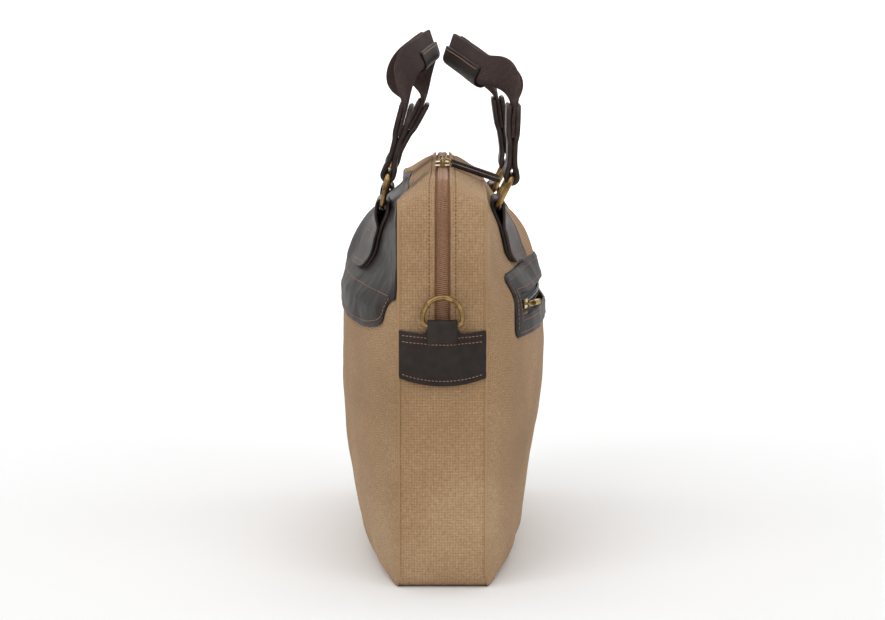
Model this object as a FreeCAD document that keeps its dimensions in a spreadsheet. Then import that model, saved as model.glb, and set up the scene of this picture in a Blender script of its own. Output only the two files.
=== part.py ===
import FreeCAD, Part
import math, os
from FreeCAD import Vector as V

# Canvas and leather satchel, millimetres.  +Z up, +X along the length, the
# leather yoke is on the -Y side, origin at the bottom centre of the bag.

doc = FreeCAD.newDocument("satchel")
sheet = doc.addObject("Spreadsheet::Sheet", "dims")
DIMS = [
    ("half_length", 195.0), ("top_height", 312.0), ("gusset_half", 33.0),
    ("canvas_thick", 1.6), ("leather_thick", 1.8), ("lining_thick", 0.8),
    ("strap_width", 50.0), ("strap_thick", 2.8), ("ring_station", 80.0),
    ("ring_inner", 51.6), ("ring_wire", 4.5), ("ring_pitch", 24.5),
    ("sleeve_thick", 3.2), ("sleeve_len", 57.0), ("tab_thick", 2.5),
    ("dring_inner", 26.0), ("dring_wire", 3.8), ("dtab_width", 22.0),
    ("board_len", 366.0), ("board_width", 60.0), ("board_thick", 2.5),
    ("coil_height", 2.5), ("tape_thick", 0.8), ("slider_len", 15.0),
    ("slider_width", 11.6), ("pull_width", 10.0), ("pull_len", 42.0),
    ("pull_thick", 3.0), ("pocket_radius", 557.0), ("pocket_half", 130.0),
    ("right_slider", 34.0), ("left_slider", -14.0),
]
for i, (name, val) in enumerate(DIMS):
    sheet.set("A%d" % (i + 1), name)
    sheet.set("B%d" % (i + 1), str(val))
    sheet.setAlias("B%d" % (i + 1), name)
doc.recompute()


def D(name):
    return float(getattr(sheet, name))


OUT = []          # (label, object) pairs in the order they are made

# ---------------------------------------------------------------- surfaces
L, TOP, G = D("half_length"), D("top_height"), D("gusset_half")
ZF = [0, 9, 34, 77, 119, 165, 196, 217, 250, 270, 282, 292, 299, 312]
MF = [50, 60.5, 69.5, 77.5, 81.5, 82.5, 82.5, 81.5, 73, 60.5, 48, 39.5, 34, 33]
MB = [50, 60, 66.5, 73.5, 80.5, 84, 82.5, 80.0, 72, 60.0, 47, 39, 34, 33]


def lerp_table(xs, ys, x):
    if x <= xs[0]:
        return ys[0]
    for i in range(len(xs) - 1):
        if x <= xs[i + 1]:
            # Catmull-Rom through the table
            p0 = ys[max(i - 1, 0)]; p1 = ys[i]; p2 = ys[i + 1]; p3 = ys[min(i + 2, len(ys) - 1)]
            x0 = xs[max(i - 1, 0)]; x1 = xs[i]; x2 = xs[i + 1]; x3 = xs[min(i + 2, len(xs) - 1)]
            m1 = (p2 - p0) / max(x2 - x0, 1e-6); m2 = (p3 - p1) / max(x3 - x1, 1e-6)
            h_ = x2 - x1; u = (x - x1) / h_
            return ((2*u**3 - 3*u*u + 1)*p1 + (u**3 - 2*u*u + u)*h_*m1
                    + (-2*u**3 + 3*u*u)*p2 + (u**3 - u*u)*h_*m2)
    return ys[-1]


def smooth(a, b, x):
    u = min(1.0, max(0.0, (x - a) / (b - a)))
    return u * u * (3 - 2 * u)


SHOULDER = 19.0        # fall of the seam below the zip line at the rounded ends


def tuck(x):
    """how much narrower the front is along the middle of the zip line"""
    return 8.0 * (1 - smooth(95, 168, abs(x)))


def drop(x):
    """how far the top seam sits below the zip line at station x"""
    u = min(1.0, abs(x) / 165.0)
    return 12.0 + (SHOULDER - 12.0) * u ** 5


def seam_z(x):
    return TOP - drop(x)


def half_depth(side, x, z):
    """half thickness of the shell at (x, z); side -1 front, +1 back"""
    zz = z * 299.0 / seam_z(x)
    m_ = lerp_table(ZF, MF if side < 0 else MB, zz)
    a = min(1.0, abs(x) / L)
    full = max(0.0, 1 - a ** 2.2) ** 0.75
    tri = max(0.0, 1 - a) ** 1.2
    w = smooth(215, 252, zz)
    hd = G + (m_ - G) * (full * (1 - w) + tri * w)
    if side < 0:
        hd -= tuck(x) * smooth(280, 299, zz)
    return hd


XG = [-195.5, -194, -190, -184, -176, -164, -148, -128, -104, -80, -54, -27, 0,
      27, 54, 80, 104, 128, 148, 164, 176, 184, 190, 194, 195.5]
ZG = [-2, 4, 10, 20, 34, 56, 80, 108, 138, 168, 192, 210, 226, 240, 252, 263, 273, 283, 293, 303, 313]


def grid_surface(pts, deg=3):
    """clamped uniform cubic surface with the grid as its poles"""
    nu, nv = len(pts), len(pts[0])
    ku, kv = nu - deg + 1, nv - deg + 1
    s_ = Part.BSplineSurface()
    s_.buildFromPolesMultsKnots(pts, [deg + 1] + [1] * (ku - 2) + [deg + 1], [deg + 1] + [1] * (kv - 2) + [deg + 1],
                                [float(i) for i in range(ku)], [float(i) for i in range(kv)], False, False, deg, deg)
    return s_


def skin(side, off, thick):
    """slab that follows the shell: inner face at half_depth+off"""
    pts = [[V(x, side * (half_depth(side, x, z) + off), z) for z in ZG] for x in XG]
    return grid_surface(pts).toShape().extrude(V(0, side * thick, 0))


def spline_edge(pts):
    c = Part.BSplineCurve(); c.interpolate([V(*p) for p in pts]); return c.toShape()


def line(a, b):
    return Part.LineSegment(V(*a), V(*b)).toShape()


def prism(edges, side, y0=0.0, y1=130.0):
    """XZ outline extruded along Y on one side of the bag"""
    w = Part.Wire(Part.__sortEdges__(edges))
    f = Part.Face(w)
    f.translate(V(0, side * y0, 0))
    return f.extrude(V(0, side * (y1 - y0), 0))


def corner_path(inset=0.0, r=30.0):
    """points (x, z) of the top seam from the right end, over the top"""
    pts = []
    for k in range(0, 7):
        t_ = math.radians(90.0 * k / 6)
        dr = SHOULDER * smooth(0, 6, k) + inset
        pts.append((L - r + (r - dr) * math.cos(t_), TOP - r + (r - dr) * math.sin(t_)))
    for x in [150, 120, 90, 60, 30, 0]:
        pts.append((x, TOP - drop(x) - inset))
    pts += [(-x, z) for x, z in reversed(pts[:-1])]
    return pts


def panel_outline(inset=0.0):
    top = corner_path(inset)
    i_ = inset; rb = 10.0
    e = [spline_edge([(x, 0, z) for x, z in top])]
    xr, zr = top[0]
    e.append(line((xr, 0, zr), (L - i_, 0, rb + i_)))
    c45 = rb * (1 - math.cos(math.pi / 4))
    e.append(Part.Arc(V(L - i_, 0, rb + i_), V(L - i_ - c45, 0, i_ + c45), V(L - rb - i_, 0, i_)).toShape())
    e.append(line((L - rb - i_, 0, i_), (-(L - rb - i_), 0, i_)))
    e.append(Part.Arc(V(-(L - rb - i_), 0, i_), V(-(L - i_ - c45), 0, i_ + c45), V(-(L - i_), 0, rb + i_)).toShape())
    e.append(line((-(L - i_), 0, rb + i_), (-xr, 0, zr)))
    return e


def feature(label, shape):
    """a sewn or moulded piece held as one Part::Feature"""
    o = doc.addObject("Part::Feature", label)
    o.Label = label
    at = shape.Placement
    o.Shape = shape
    o.Placement = at
    OUT.append((label, o))
    return o


CT, LT, LN = D("canvas_thick"), D("leather_thick"), D("lining_thick")

# window of the zip pocket in the back panel
WIN_X, WZ0, WZ1 = 143.0, 203.0, 221.0


def window(grow=0.0, side=1):
    x1, z0, z1 = WIN_X + grow, WZ0 - grow, WZ1 + grow
    return prism([line((-x1, 0, z0), (x1, 0, z0)), line((x1, 0, z0), (x1, 0, z1)),
                  line((x1, 0, z1), (-x1, 0, z1)), line((-x1, 0, z1), (-x1, 0, z0))], side)


feature("front_panel", skin(-1, -CT, CT).common(prism(panel_outline(), -1)))
feature("back_panel", skin(1, -CT, CT).common(prism(panel_outline(), 1)).cut(window()))
feature("front_lining", skin(-1, -CT - 1.8, LN).common(prism(panel_outline(9.0), -1)))
feature("back_lining", skin(1, -12.0, LN).common(prism(panel_outline(12.0), 1)))

# yoke: leather over the upper part of the front panel, stepped lower edge
YK = [(188, 219), (184.5, 212), (182, 205), (177, 201), (168, 198.8), (156, 197.2), (140, 196.5), (110, 198), (85, 200), (45, 206), (20, 212.5), (0, 213.5)]
YK = YK + [(-x, z) for x, z in reversed(YK[:-1])]
yoke_top = corner_path(1.2)
yoke_edges = [spline_edge([(x, 0, z) for x, z in YK]),
              line((188, 0, 219), (193.0, 0, 222)), line((193.0, 0, 222), (193.0, 0, 282)),
              line((193.0, 0, 282), (yoke_top[0][0], 0, yoke_top[0][1])),
              spline_edge([(x, 0, z) for x, z in yoke_top]),
              line((-yoke_top[0][0], 0, yoke_top[0][1]), (-193.0, 0, 282)),
              line((-193.0, 0, 282), (-193.0, 0, 222)), line((-193.0, 0, 222), (-188, 0, 219))]
feature("front_yoke", skin(-1, 0.25, LT).common(prism(yoke_edges, -1)))

# leather frame round the pocket zip on the back
fr_top = [(152, 231), (148.5, 234.2), (140, 235.2), (128, 236), (100, 237), (60, 238.5), (30, 239), (0, 239)]
fr_top = fr_top + [(-x, z) for x, z in reversed(fr_top[:-1])]
fr = [line((-157, 0, 188), (157, 0, 188)), line((157, 0, 188), (161, 0, 193.5)), line((161, 0, 193.5), (152, 0, 231)),
      spline_edge([(x, 0, z) for x, z in fr_top]),
      line((-152, 0, 231), (-161, 0, 193.5)), line((-161, 0, 193.5), (-157, 0, 188))]
feature("pocket_frame", skin(1, 0.25, LT).common(prism(fr, 1)).cut(window(-0.6)))

# pocket bag: two cloth layers joined at the bottom, open towards the zip
def rect_prism(x1, z0, z1, side=1):
    return prism([line((-x1, 0, z0), (x1, 0, z0)), line((x1, 0, z0), (x1, 0, z1)),
                  line((x1, 0, z1), (-x1, 0, z1)), line((-x1, 0, z1), (-x1, 0, z0))], side)

pb = skin(1, -10.6, 3.6).common(rect_prism(149, 92, 228))
pb = pb.cut(skin(1, -9.9, 2.2).common(rect_prism(148.2, 93, 230)))
feature("pocket_bag", pb)


# ------------------------------------------------------- PartDesign helper
def body_pad(label, role, edges, length, placement=None, midplane=False):
    """a body whose profile is padded by a sheet value"""
    b = doc.addObject("PartDesign::Body", label)
    b.Label = label
    s_ = b.newObject("Sketcher::SketchObject", label + "_sketch")
    pl = [f for f in b.Origin.OriginFeatures if f.Role == role][0]
    s_.AttachmentSupport = [(pl, "")]
    s_.MapMode = "FlatFace"
    for g_ in edges:
        s_.addGeometry(g_, False)
    p = b.newObject("PartDesign::Pad", label + "_pad")
    p.Profile = s_
    if midplane:
        p.Midplane = True
    if isinstance(length, str):
        p.setExpression("Length", length)
    else:
        p.Length = length
    b.Tip = p
    if placement is not None:
        b.Placement = placement
    OUT.append((label, b))
    return b, s_, p


def poly(pts):
    n = len(pts)
    return [Part.LineSegment(V(pts[i][0], pts[i][1], 0), V(pts[(i + 1) % n][0], pts[(i + 1) % n][1], 0)) for i in range(n)]


def rect(x0, y0, x1, y1):
    return poly([(x0, y0), (x1, y0), (x1, y1), (x0, y1)])


def circle(cx, cy, r):
    return [Part.Circle(V(cx, cy, 0), V(0, 0, 1), r)]


def place(x=0, y=0, z=0, axis=V(0, 0, 1), ang=0.0):
    return FreeCAD.Placement(V(x, y, z), FreeCAD.Rotation(axis, ang))


# base: canvas bottom with rounded flanks, stiffener board above it
bw = [(x, half_depth(1, x, 0) - CT - 0.5) for x in (184, 170, 150, 120, 80, 40, 0)]
bw = bw + [(-x, y) for x, y in reversed(bw[:-1])]
bt = Part.Wire([spline_edge([(x, y, 0) for x, y in bw]), line((-184, bw[-1][1], 0), (-184, -bw[-1][1], 0)),
                spline_edge([(-x, -y, 0) for x, y in bw]), line((184, -bw[0][1], 0), (184, bw[0][1], 0))])
feature("bottom_panel", Part.Face(bt).extrude(V(0, 0, CT)))
bd, _, pd_ = body_pad("base_board", "XY_Plane", rect(-183, -30, 183, 30), "dims.board_thick", place(0, 0, 3.4))

# end gussets: canvas wall with the rounded foot, below the leather band
def gusset(label, sgn):
    gp = [Part.LineSegment(V(195, 176.5, 0), V(195, 10, 0)),
          Part.Arc(V(195, 10, 0), V(192.07, 2.93, 0), V(185, 0, 0)),
          Part.LineSegment(V(185, 0, 0), V(185, 1.6, 0)),
          Part.Arc(V(185, 1.6, 0), V(190.94, 4.06, 0), V(193.4, 10, 0)),
          Part.LineSegment(V(193.4, 10, 0), V(193.4, 176.5, 0)),
          Part.LineSegment(V(193.4, 176.5, 0), V(195, 176.5, 0))]
    if sgn < 0:
        pl_ = place(0, -31.1, 0, V(0, 0, 1), 180.0)
    else:
        pl_ = place(0, 31.1, 0)
    return body_pad(label, "XZ_Plane", gp, "2 * (dims.gusset_half - 1.9)", pl_)

gusset("end_gusset_right", 1)
gusset("end_gusset_left", -1)
gl = [(190.4, 296), (190.4, 5.0), (188, 2.9), (185, 2.0), (-185, 2.0), (-188, 2.9), (-190.4, 5.0), (-190.4, 296),
      (-189.6, 296), (-189.6, 5.3), (-187.6, 3.6), (-184.8, 2.8), (184.8, 2.8), (187.6, 3.6), (189.6, 5.3), (189.6, 296)]
body_pad("gusset_lining", "XZ_Plane", poly([(x, min(z, 268)) for x, z in gl]), "2 * 21", place(0, 21, 0))


# ---------------------------------------------- strips beside the main zip
def run_path(zlow=178.0, r=30.0):
    """stations (x, z, nx, nz, s) along the end, corner, top, corner, end"""
    st = []
    for k in range(0, 10):
        st.append((L, zlow + (TOP - r - 4 - zlow) * k / 9.0, 1.0, 0.0, 0.0))
    for k in range(0, 7):
        t_ = math.radians(90.0 * k / 6)
        st.append((L - r + r * math.cos(t_), TOP - r + r * math.sin(t_), math.cos(t_), math.sin(t_), SHOULDER * smooth(0, 6, k)))
    for x in (155, 142, 128, 112, 96, 80, 64, 48, 32, 16, 0):
        st.append((x, TOP, 0.0, 1.0, drop(x)))
    st += [(-x, z, -nx, nz, dr) for x, z, nx, nz, dr in reversed(st[:-1])]
    return st


def closed_slab(outer, inner):
    """solid between two point grids"""
    def edge_patch(p, q):
        n = len(p) - 2
        t_ = Part.BSplineSurface()
        t_.buildFromPolesMultsKnots([[i, j] for i, j in zip(p, q)], [4] + [1] * (n - 2) + [4], [2, 2],
                                    [float(i) for i in range(n)], [0.0, 1.0], False, False, 3, 1)
        return t_.toShape()
    faces = [grid_surface(outer).toShape(), grid_surface(inner).toShape(),
             edge_patch([r[0] for r in outer], [r[0] for r in inner]),
             edge_patch([r[-1] for r in outer], [r[-1] for r in inner]),
             edge_patch(outer[0], inner[0]), edge_patch(outer[-1], inner[-1])]
    sh = Part.makeCompound(faces)
    sh.sewShape(0.001)
    so_ = Part.Solid(sh if sh.ShapeType == "Shell" else sh.Shells[0])
    if so_.Volume < 0:
        so_.reverse()
    return so_


def strip(side, y0, y1, out0, thick, ylist, slope=True):
    o, i_ = [], []
    for x, z, nx, nz, dr in run_path():
        ro, ri = [], []
        for y in ylist:
            dd = dr * (y - 6.5) / 26.2 if slope else 0.0
            yy = y
            if side < 0 and nz > 0.99:
                yy = 6.5 + (y - 6.5) * (1 - tuck(x) / 24.6)
            ro.append(V(x - nx * (dd + out0), side * yy, z - nz * (dd + out0)))
            ri.append(V(x - nx * (dd + out0 + thick), side * yy, z - nz * (dd + out0 + thick)))
        o.append(ro); i_.append(ri)
    return closed_slab(o, i_)


feature("top_strip_front", strip(-1, 6.5, 31.1, 0.0, CT, [6.5, 15, 23, 31.1]))
feature("top_strip_back", strip(1, 6.5, 31.1, 0.0, CT, [6.5, 15, 23, 31.1]))


def u_run(label, side, y0, y1, d0, d1, z_end=182.0, r=30.0):
    """flat ribbon along the zip line, at depths d0..d1 below the crown"""
    def arc(rr):
        c = rr * math.cos(math.pi / 4)
        return [(L - r + rr, TOP - r), (L - r + c, TOP - r + c), (L - r, TOP - r + rr)]
    a, b_ = arc(r - d0), arc(r - d1)
    e = [Part.LineSegment(V(a[0][0], z_end, 0), V(a[0][0], a[0][1], 0)),
         Part.Arc(*[V(p[0], p[1], 0) for p in a]),
         Part.LineSegment(V(a[2][0], a[2][1], 0), V(-a[2][0], a[2][1], 0)),
         Part.Arc(*[V(-p[0], p[1], 0) for p in reversed(a)]),
         Part.LineSegment(V(-a[0][0], a[0][1], 0), V(-a[0][0], z_end, 0)),
         Part.LineSegment(V(-a[0][0], z_end, 0), V(-b_[0][0], z_end, 0)),
         Part.LineSegment(V(-b_[0][0], z_end, 0), V(-b_[0][0], b_[0][1], 0)),
         Part.Arc(*[V(-p[0], p[1], 0) for p in b_]),
         Part.LineSegment(V(-b_[2][0], b_[2][1], 0), V(b_[2][0], b_[2][1], 0)),
         Part.Arc(*[V(p[0], p[1], 0) for p in reversed(b_)]),
         Part.LineSegment(V(b_[0][0], b_[0][1], 0), V(b_[0][0], z_end, 0)),
         Part.LineSegment(V(b_[0][0], z_end, 0), V(a[0][0], z_end, 0))]
    # the XZ sketch pads towards -Y, so the body starts at its larger Y
    yhi = max(side * y0, side * y1)
    return body_pad(label, "XZ_Plane", e, abs(y1 - y0), place(0, yhi, 0))


for nm, sd in (("front", -1), ("back", 1)):
    u_run("zip_tape_" + nm, sd, 1.4, 8.4, 3.4, 4.2)
    u_run("zip_coil_" + nm, sd, 1.4, 4.2, 0.8, 3.3)

# brass stops that close both ends of the coils, on the outside of the tapes
def stop(sgn):
    a = Part.makeBox(1.6, 7.6, 2.2, V(L - 0.7, -3.8, 178.5))
    return a if sgn > 0 else a.mirror(V(0, 0, 0), V(1, 0, 0))


feature("zip_stops", Part.makeCompound([stop(1), stop(-1)]).copy())


# ------------------------------------------------------ leather end bands
def band(label, sgn):
    top, bot = 199.0, 163.0
    e = [Part.Arc(V(-32.4, bot, 0), V(0, 157, 0), V(32.4, bot, 0)),
         Part.LineSegment(V(32.4, bot, 0), V(32.4, top, 0)),
         Part.LineSegment(V(32.4, top, 0), V(16, 196.2, 0)),
         Part.Arc(V(16, 196.2, 0), V(12.3, 197.8, 0), V(11, 201.5, 0)),
         Part.LineSegment(V(11, 201.5, 0), V(-11, 201.5, 0)),
         Part.Arc(V(-11, 201.5, 0), V(-12.3, 197.8, 0), V(-16, 196.2, 0)),
         Part.LineSegment(V(-16, 196.2, 0), V(-32.4, top, 0)),
         Part.LineSegment(V(-32.4, top, 0), V(-32.4, bot, 0))]
    pl_ = place(196.2, 0, 0) if sgn > 0 else place(-196.2, 0, 0, V(0, 0, 1), 180.0)
    return body_pad(label, "YZ_Plane", e, "dims.leather_thick", pl_)


band("end_band_right", 1)
band("end_band_left", -1)
DX, DZ = 202.4, 204.0          # hinge line of the D rings


def dtab(label, sgn):
    w = D("dtab_width"); r = D("dring_wire") / 2 + 0.6
    tube = Part.makeCylinder(r + 1.6, w, V(DX, -w / 2, DZ), V(0, 1, 0))
    legs = Part.makeBox(3.4, w, 14, V(198.3, -w / 2, 190))
    q = tube.fuse(legs).cut(Part.makeCylinder(r, w + 2, V(DX, -w / 2 - 1, DZ), V(0, 1, 0)))
    q = q.removeSplitter()
    feature(label, q if sgn > 0 else q.mirror(V(0, 0, 0), V(1, 0, 0)))


dtab("d_tab_right", 1)
dtab("d_tab_left", -1)


def pipe(edges, r, start, tangent):
    w = Part.Wire(Part.__sortEdges__(edges))
    prof = Part.Wire([Part.makeCircle(r, start, tangent)])
    return w.makePipeShell([prof], True, True)


def dring(label, sgn):
    hw = D("dring_inner") / 2 + D("dring_wire") / 2
    c = 4.0; zs = 6.0
    P = lambda y, z: V(DX, y, DZ + z)
    q = c * (1 - math.cos(math.pi / 4))
    e = [Part.LineSegment(P(0, 0), P(hw - c, 0)).toShape(),
         Part.Arc(P(hw - c, 0), P(hw - q, q), P(hw, c)).toShape(),
         Part.LineSegment(P(hw, c), P(hw, zs)).toShape(),
         Part.Arc(P(hw, zs), P(0, zs + hw), P(-hw, zs)).toShape(),
         Part.LineSegment(P(-hw, zs), P(-hw, c)).toShape(),
         Part.Arc(P(-hw, c), P(-hw + q, q), P(-hw + c, 0)).toShape(),
         Part.LineSegment(P(-hw + c, 0), P(0, 0)).toShape()]
    s_ = pipe(e, D("dring_wire") / 2, P(0, 0), V(0, 1, 0))
    feature(label, s_ if sgn > 0 else s_.mirror(V(0, 0, 0), V(1, 0, 0)))


dring("d_ring_right", 1)
dring("d_ring_left", -1)

# ------------------------------------------------- handle rings and leather
SX, SW = D("ring_station"), D("strap_width")
FRONT = dict(side=-1, y=-47.5, z=286.0, lean=-11.0, sleeve=(15.1, 28.2))
BACK = dict(side=1, y=43.5, z=286.0, lean=27.0, sleeve=(-1.5, 7.6))
# lean: ring top towards the outside, degrees; sleeve: top towards the inside


def ring_top(h):
    a = math.radians(h["lean"]); p = D("ring_pitch")
    return h["y"] + h["side"] * p * math.sin(a), h["z"] + p * math.cos(a)


def ring(label, h, xc):
    hx, p, c = D("ring_inner") / 2 + D("ring_wire") / 2, D("ring_pitch"), 4.6
    q = c * (1 - math.cos(math.pi / 4))
    P = lambda x, z: V(x, 0, z)
    e = [Part.LineSegment(P(0, 0), P(hx - c, 0)), Part.Arc(P(hx - c, 0), P(hx - q, q), P(hx, c)),
         Part.LineSegment(P(hx, c), P(hx, p - c)), Part.Arc(P(hx, p - c), P(hx - q, p - q), P(hx - c, p)),
         Part.LineSegment(P(hx - c, p), P(-hx + c, p)), Part.Arc(P(-hx + c, p), P(-hx + q, p - q), P(-hx, p - c)),
         Part.LineSegment(P(-hx, p - c), P(-hx, c)), Part.Arc(P(-hx, c), P(-hx + q, q), P(-hx + c, 0)),
         Part.LineSegment(P(-hx + c, 0), P(0, 0))]
    s_ = pipe([k.toShape() for k in e], D("ring_wire") / 2, P(0, 0), V(1, 0, 0))
    s_.rotate(V(0, 0, 0), V(1, 0, 0), -h["side"] * h["lean"])
    s_.translate(V(xc, h["y"], h["z"]))
    feature(label, s_)


def tab(label, h, xc):
    """leather leaf that follows the shell, looped round the lower ring bar"""
    sd = h["side"]; t_ = D("tab_thick"); off = 2.3 if sd < 0 else 0.3
    r = D("ring_wire") / 2 + 0.9
    zlo = 237.0 if sd < 0 else 241.0
    leaf = skin(sd, off, 2 * t_).common(prism([line((xc - 25, 0, zlo), (xc + 25, 0, zlo)), line((xc + 25, 0, zlo), (xc + 25, 0, 280)),
                line((xc + 25, 0, 280), (xc - 25, 0, 280)), line((xc - 25, 0, 280), (xc - 25, 0, zlo))], sd))
    y1 = half_depth(sd, 80, 272) + off + t_ + 0.6
    A = V(xc - 25, h["y"], h["z"]); B = V(xc - 25, sd * y1, 272.0)
    n = (B - A).cross(V(1, 0, 0)); n.normalize(); n = n * (t_ + 0.4)
    nk = Part.Face(Part.makePolygon([A + n, B + n, B - n, A - n, A + n])).extrude(V(SW, 0, 0))
    tube = Part.makeCylinder(r + t_, SW, A, V(1, 0, 0))
    q = leaf.fuse(nk).fuse(tube)
    q = q.cut(Part.makeCylinder(r, SW + 4, A - V(2, 0, 0), V(1, 0, 0)))
    q = q.cut(skin(sd, off - 26.0, 26.0))
    sol = max(q.Solids, key=lambda k: k.Volume)
    feature(label, sol)


def sleeve(label, h, xc, ang):
    r = D("ring_wire") / 2 + 0.9; t_ = D("sleeve_thick"); g2 = 1.7; ln = D("sleeve_len")
    o = V(-SW / 2, 0, 0)
    q = Part.makeCylinder(r + t_, SW, o, V(1, 0, 0)).fuse(Part.makeBox(SW, 2 * (g2 + t_), ln, V(-SW / 2, -g2 - t_, 0)))
    q = q.cut(Part.makeCylinder(r, SW + 2, o - V(1, 0, 0), V(1, 0, 0)))
    q = q.cut(Part.makeBox(SW + 2, 2 * g2, ln + 2, V(-SW / 2 - 1, -g2, 0))).removeSplitter()
    q.rotate(V(0, 0, 0), V(1, 0, 0), h["side"] * ang)
    y, z = ring_top(h)
    q.translate(V(xc, y, z))
    feature(label, q)


for nm, h_ in (("front", FRONT), ("back", BACK)):
    for sn, sx, k in (("right", SX, 0), ("left", -SX, 1)):
        ring("ring_%s_%s" % (nm, sn), h_, sx)
        tab("handle_tab_%s_%s" % (nm, sn), h_, sx)
        sleeve("sleeve_%s_%s" % (nm, sn), h_, sx, h_["sleeve"][k])


# ------------------------------------- webbing folded into the leather grip
def leg(h, k, dist):
    y, z = ring_top(h); a = math.radians(h["sleeve"][k])
    return (SX if k == 0 else -SX, y - h["side"] * dist * math.sin(a), z + dist * math.cos(a))


def stations(h):
    """fold line point, open direction and fold angle along one handle"""
    sd = h["side"]
    if sd > 0:
        mid = [((80, 55.6, 368.0), (-.15, .97, .1), 25), ((77, 50.5, 375.0), (-.1, .85, .5), 100),
               ((68, 42.5, 379.0), (0, .65, .76), 155), ((56, 34.5, 379.6), (0, .5, .87), 176),
               ((45, 29.0, 380.0), (0, .44, .9), 180), ((0, 17.0, 388.0), (0, .38, .93), 180),
               ((-45, 5.6, 395.5), (0, .3, .95), 180), ((-58, 5.8, 395.5), (0, .35, .93), 176),
               ((-70, 12.0, 391.5), (0, .55, .83), 150), ((-78, 26.0, 382.0), (.1, .75, .65), 90),
               ((-80, 40.5, 371.5), (.1, .93, .35), 25)]
    else:
        mid = [((80, -27.0, 371.0), (-.15, -.95, .2), 25), ((77, -25.0, 379.0), (-.1, -.93, .35), 95),
               ((68, -22.0, 386.5), (0, -.75, .65), 150), ((56, -19.0, 390.5), (0, -.5, .87), 176),
               ((45, -17.0, 392.0), (0, -.41, .91), 180), ((0, -12.0, 396.0), (0, -.36, .93), 180),
               ((-45, -7.4, 399.0), (0, -.3, .95), 180), ((-58, -7.4, 398.0), (0, -.35, .93), 176),
               ((-70, -8.6, 391.5), (0, -.6, .8), 150), ((-78, -11.0, 380.0), (.1, -.85, .5), 90),
               ((-80, -13.5, 368.5), (.1, -.9, .45), 25)]
    a0, a1 = math.radians(h["sleeve"][0]), math.radians(h["sleeve"][1])
    o0 = (0, sd * math.cos(a0), math.sin(a0)); o1 = (0, sd * math.cos(a1), math.sin(a1))
    return ([(leg(h, 0, 32), o0, 0), (leg(h, 0, 45), o0, 0), (leg(h, 0, 57.5), o0, 0)] + mid
            + [(leg(h, 1, 57.5), o1, 0), (leg(h, 1, 45), o1, 0), (leg(h, 1, 32), o1, 0)])


def ribbon(h, offs, half, xlim=None, n=46):
    st = stations(h)
    par = [0.0]
    for i in range(1, len(st)):
        par.append(par[-1] + (V(*st[i][0]) - V(*st[i - 1][0])).Length)
    c = Part.BSplineCurve(); c.interpolate(Points=[V(*q[0]) for q in st], Parameters=par)
    t0, t1 = par[0], par[-1]
    if xlim is not None:
        us = [t0 + (t1 - t0) * i / 600.0 for i in range(601)]
        us = [u for u in us if abs(c.value(u).x) <= xlim and c.value(u).z > 375]
        t0, t1 = us[0], us[-1]
    vs = [-half, -half * .72, -half * .45, -4.7, -3.1, -1.55, 0, 1.55, 3.1, 4.7, half * .45, half * .72, half]
    grids = [[] for _ in offs]
    for i in range(n + 1):
        u = t0 + (t1 - t0) * i / n
        j = max(0, min(len(par) - 2, sum(1 for p in par if p <= u) - 1))
        f = smooth(0, 1, (u - par[j]) / (par[j + 1] - par[j]))
        O = V(*st[j][1]) * (1 - f) + V(*st[j + 1][1]) * f
        phi = math.radians(st[j][2] * (1 - f) + st[j + 1][2] * f)
        T = c.tangent(u)[0]; C = c.value(u)
        O = O - T * O.dot(T); O.normalize(); Lv = T.cross(O)
        rows = [[] for _ in offs]
        for v in vs:
            hp = phi / 2
            if hp < 1e-4:
                a, b, al = v, 0.0, 0.0
            else:
                r = 4.7 / hp
                if abs(v) <= 4.7:
                    al = v / r; a, b = r * math.sin(al), r * (1 - math.cos(al))
                else:
                    s_ = 1 if v > 0 else -1; e = abs(v) - 4.7; al = s_ * hp
                    a = s_ * (r * math.sin(hp) + e * math.cos(hp)); b = r * (1 - math.cos(hp)) + e * math.sin(hp)
            nrm = O * math.cos(al) - Lv * math.sin(al)
            p = C + Lv * a + O * b
            for k, o_ in enumerate(offs):
                rows[k].append(p - nrm * o_)
        for k in range(len(offs)):
            grids[k].append(rows[k])
    return grids


ST = D("strap_thick")
for nm, h_ in (("front", FRONT), ("back", BACK)):
    g_ = ribbon(h_, [ST / 2, -ST / 2], SW / 2)
    wb_ = closed_slab(g_[0], g_[1])
    for lb_, ob_ in OUT:
        if lb_.startswith("sleeve_" + nm):
            wb_ = wb_.cut(ob_.Shape)
    feature("webbing_" + nm, max(wb_.Solids, key=lambda k: k.Volume))
    g_ = ribbon(h_, [ST / 2 + 1.8, ST / 2 + 0.35], 13.5, xlim=46.0, n=12)
    feature("grip_" + nm, closed_slab(g_[0], g_[1]))


# ----------------------------------------------- main zip sliders and pulls
AX = 316.4                      # hinge height of the pulls


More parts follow.
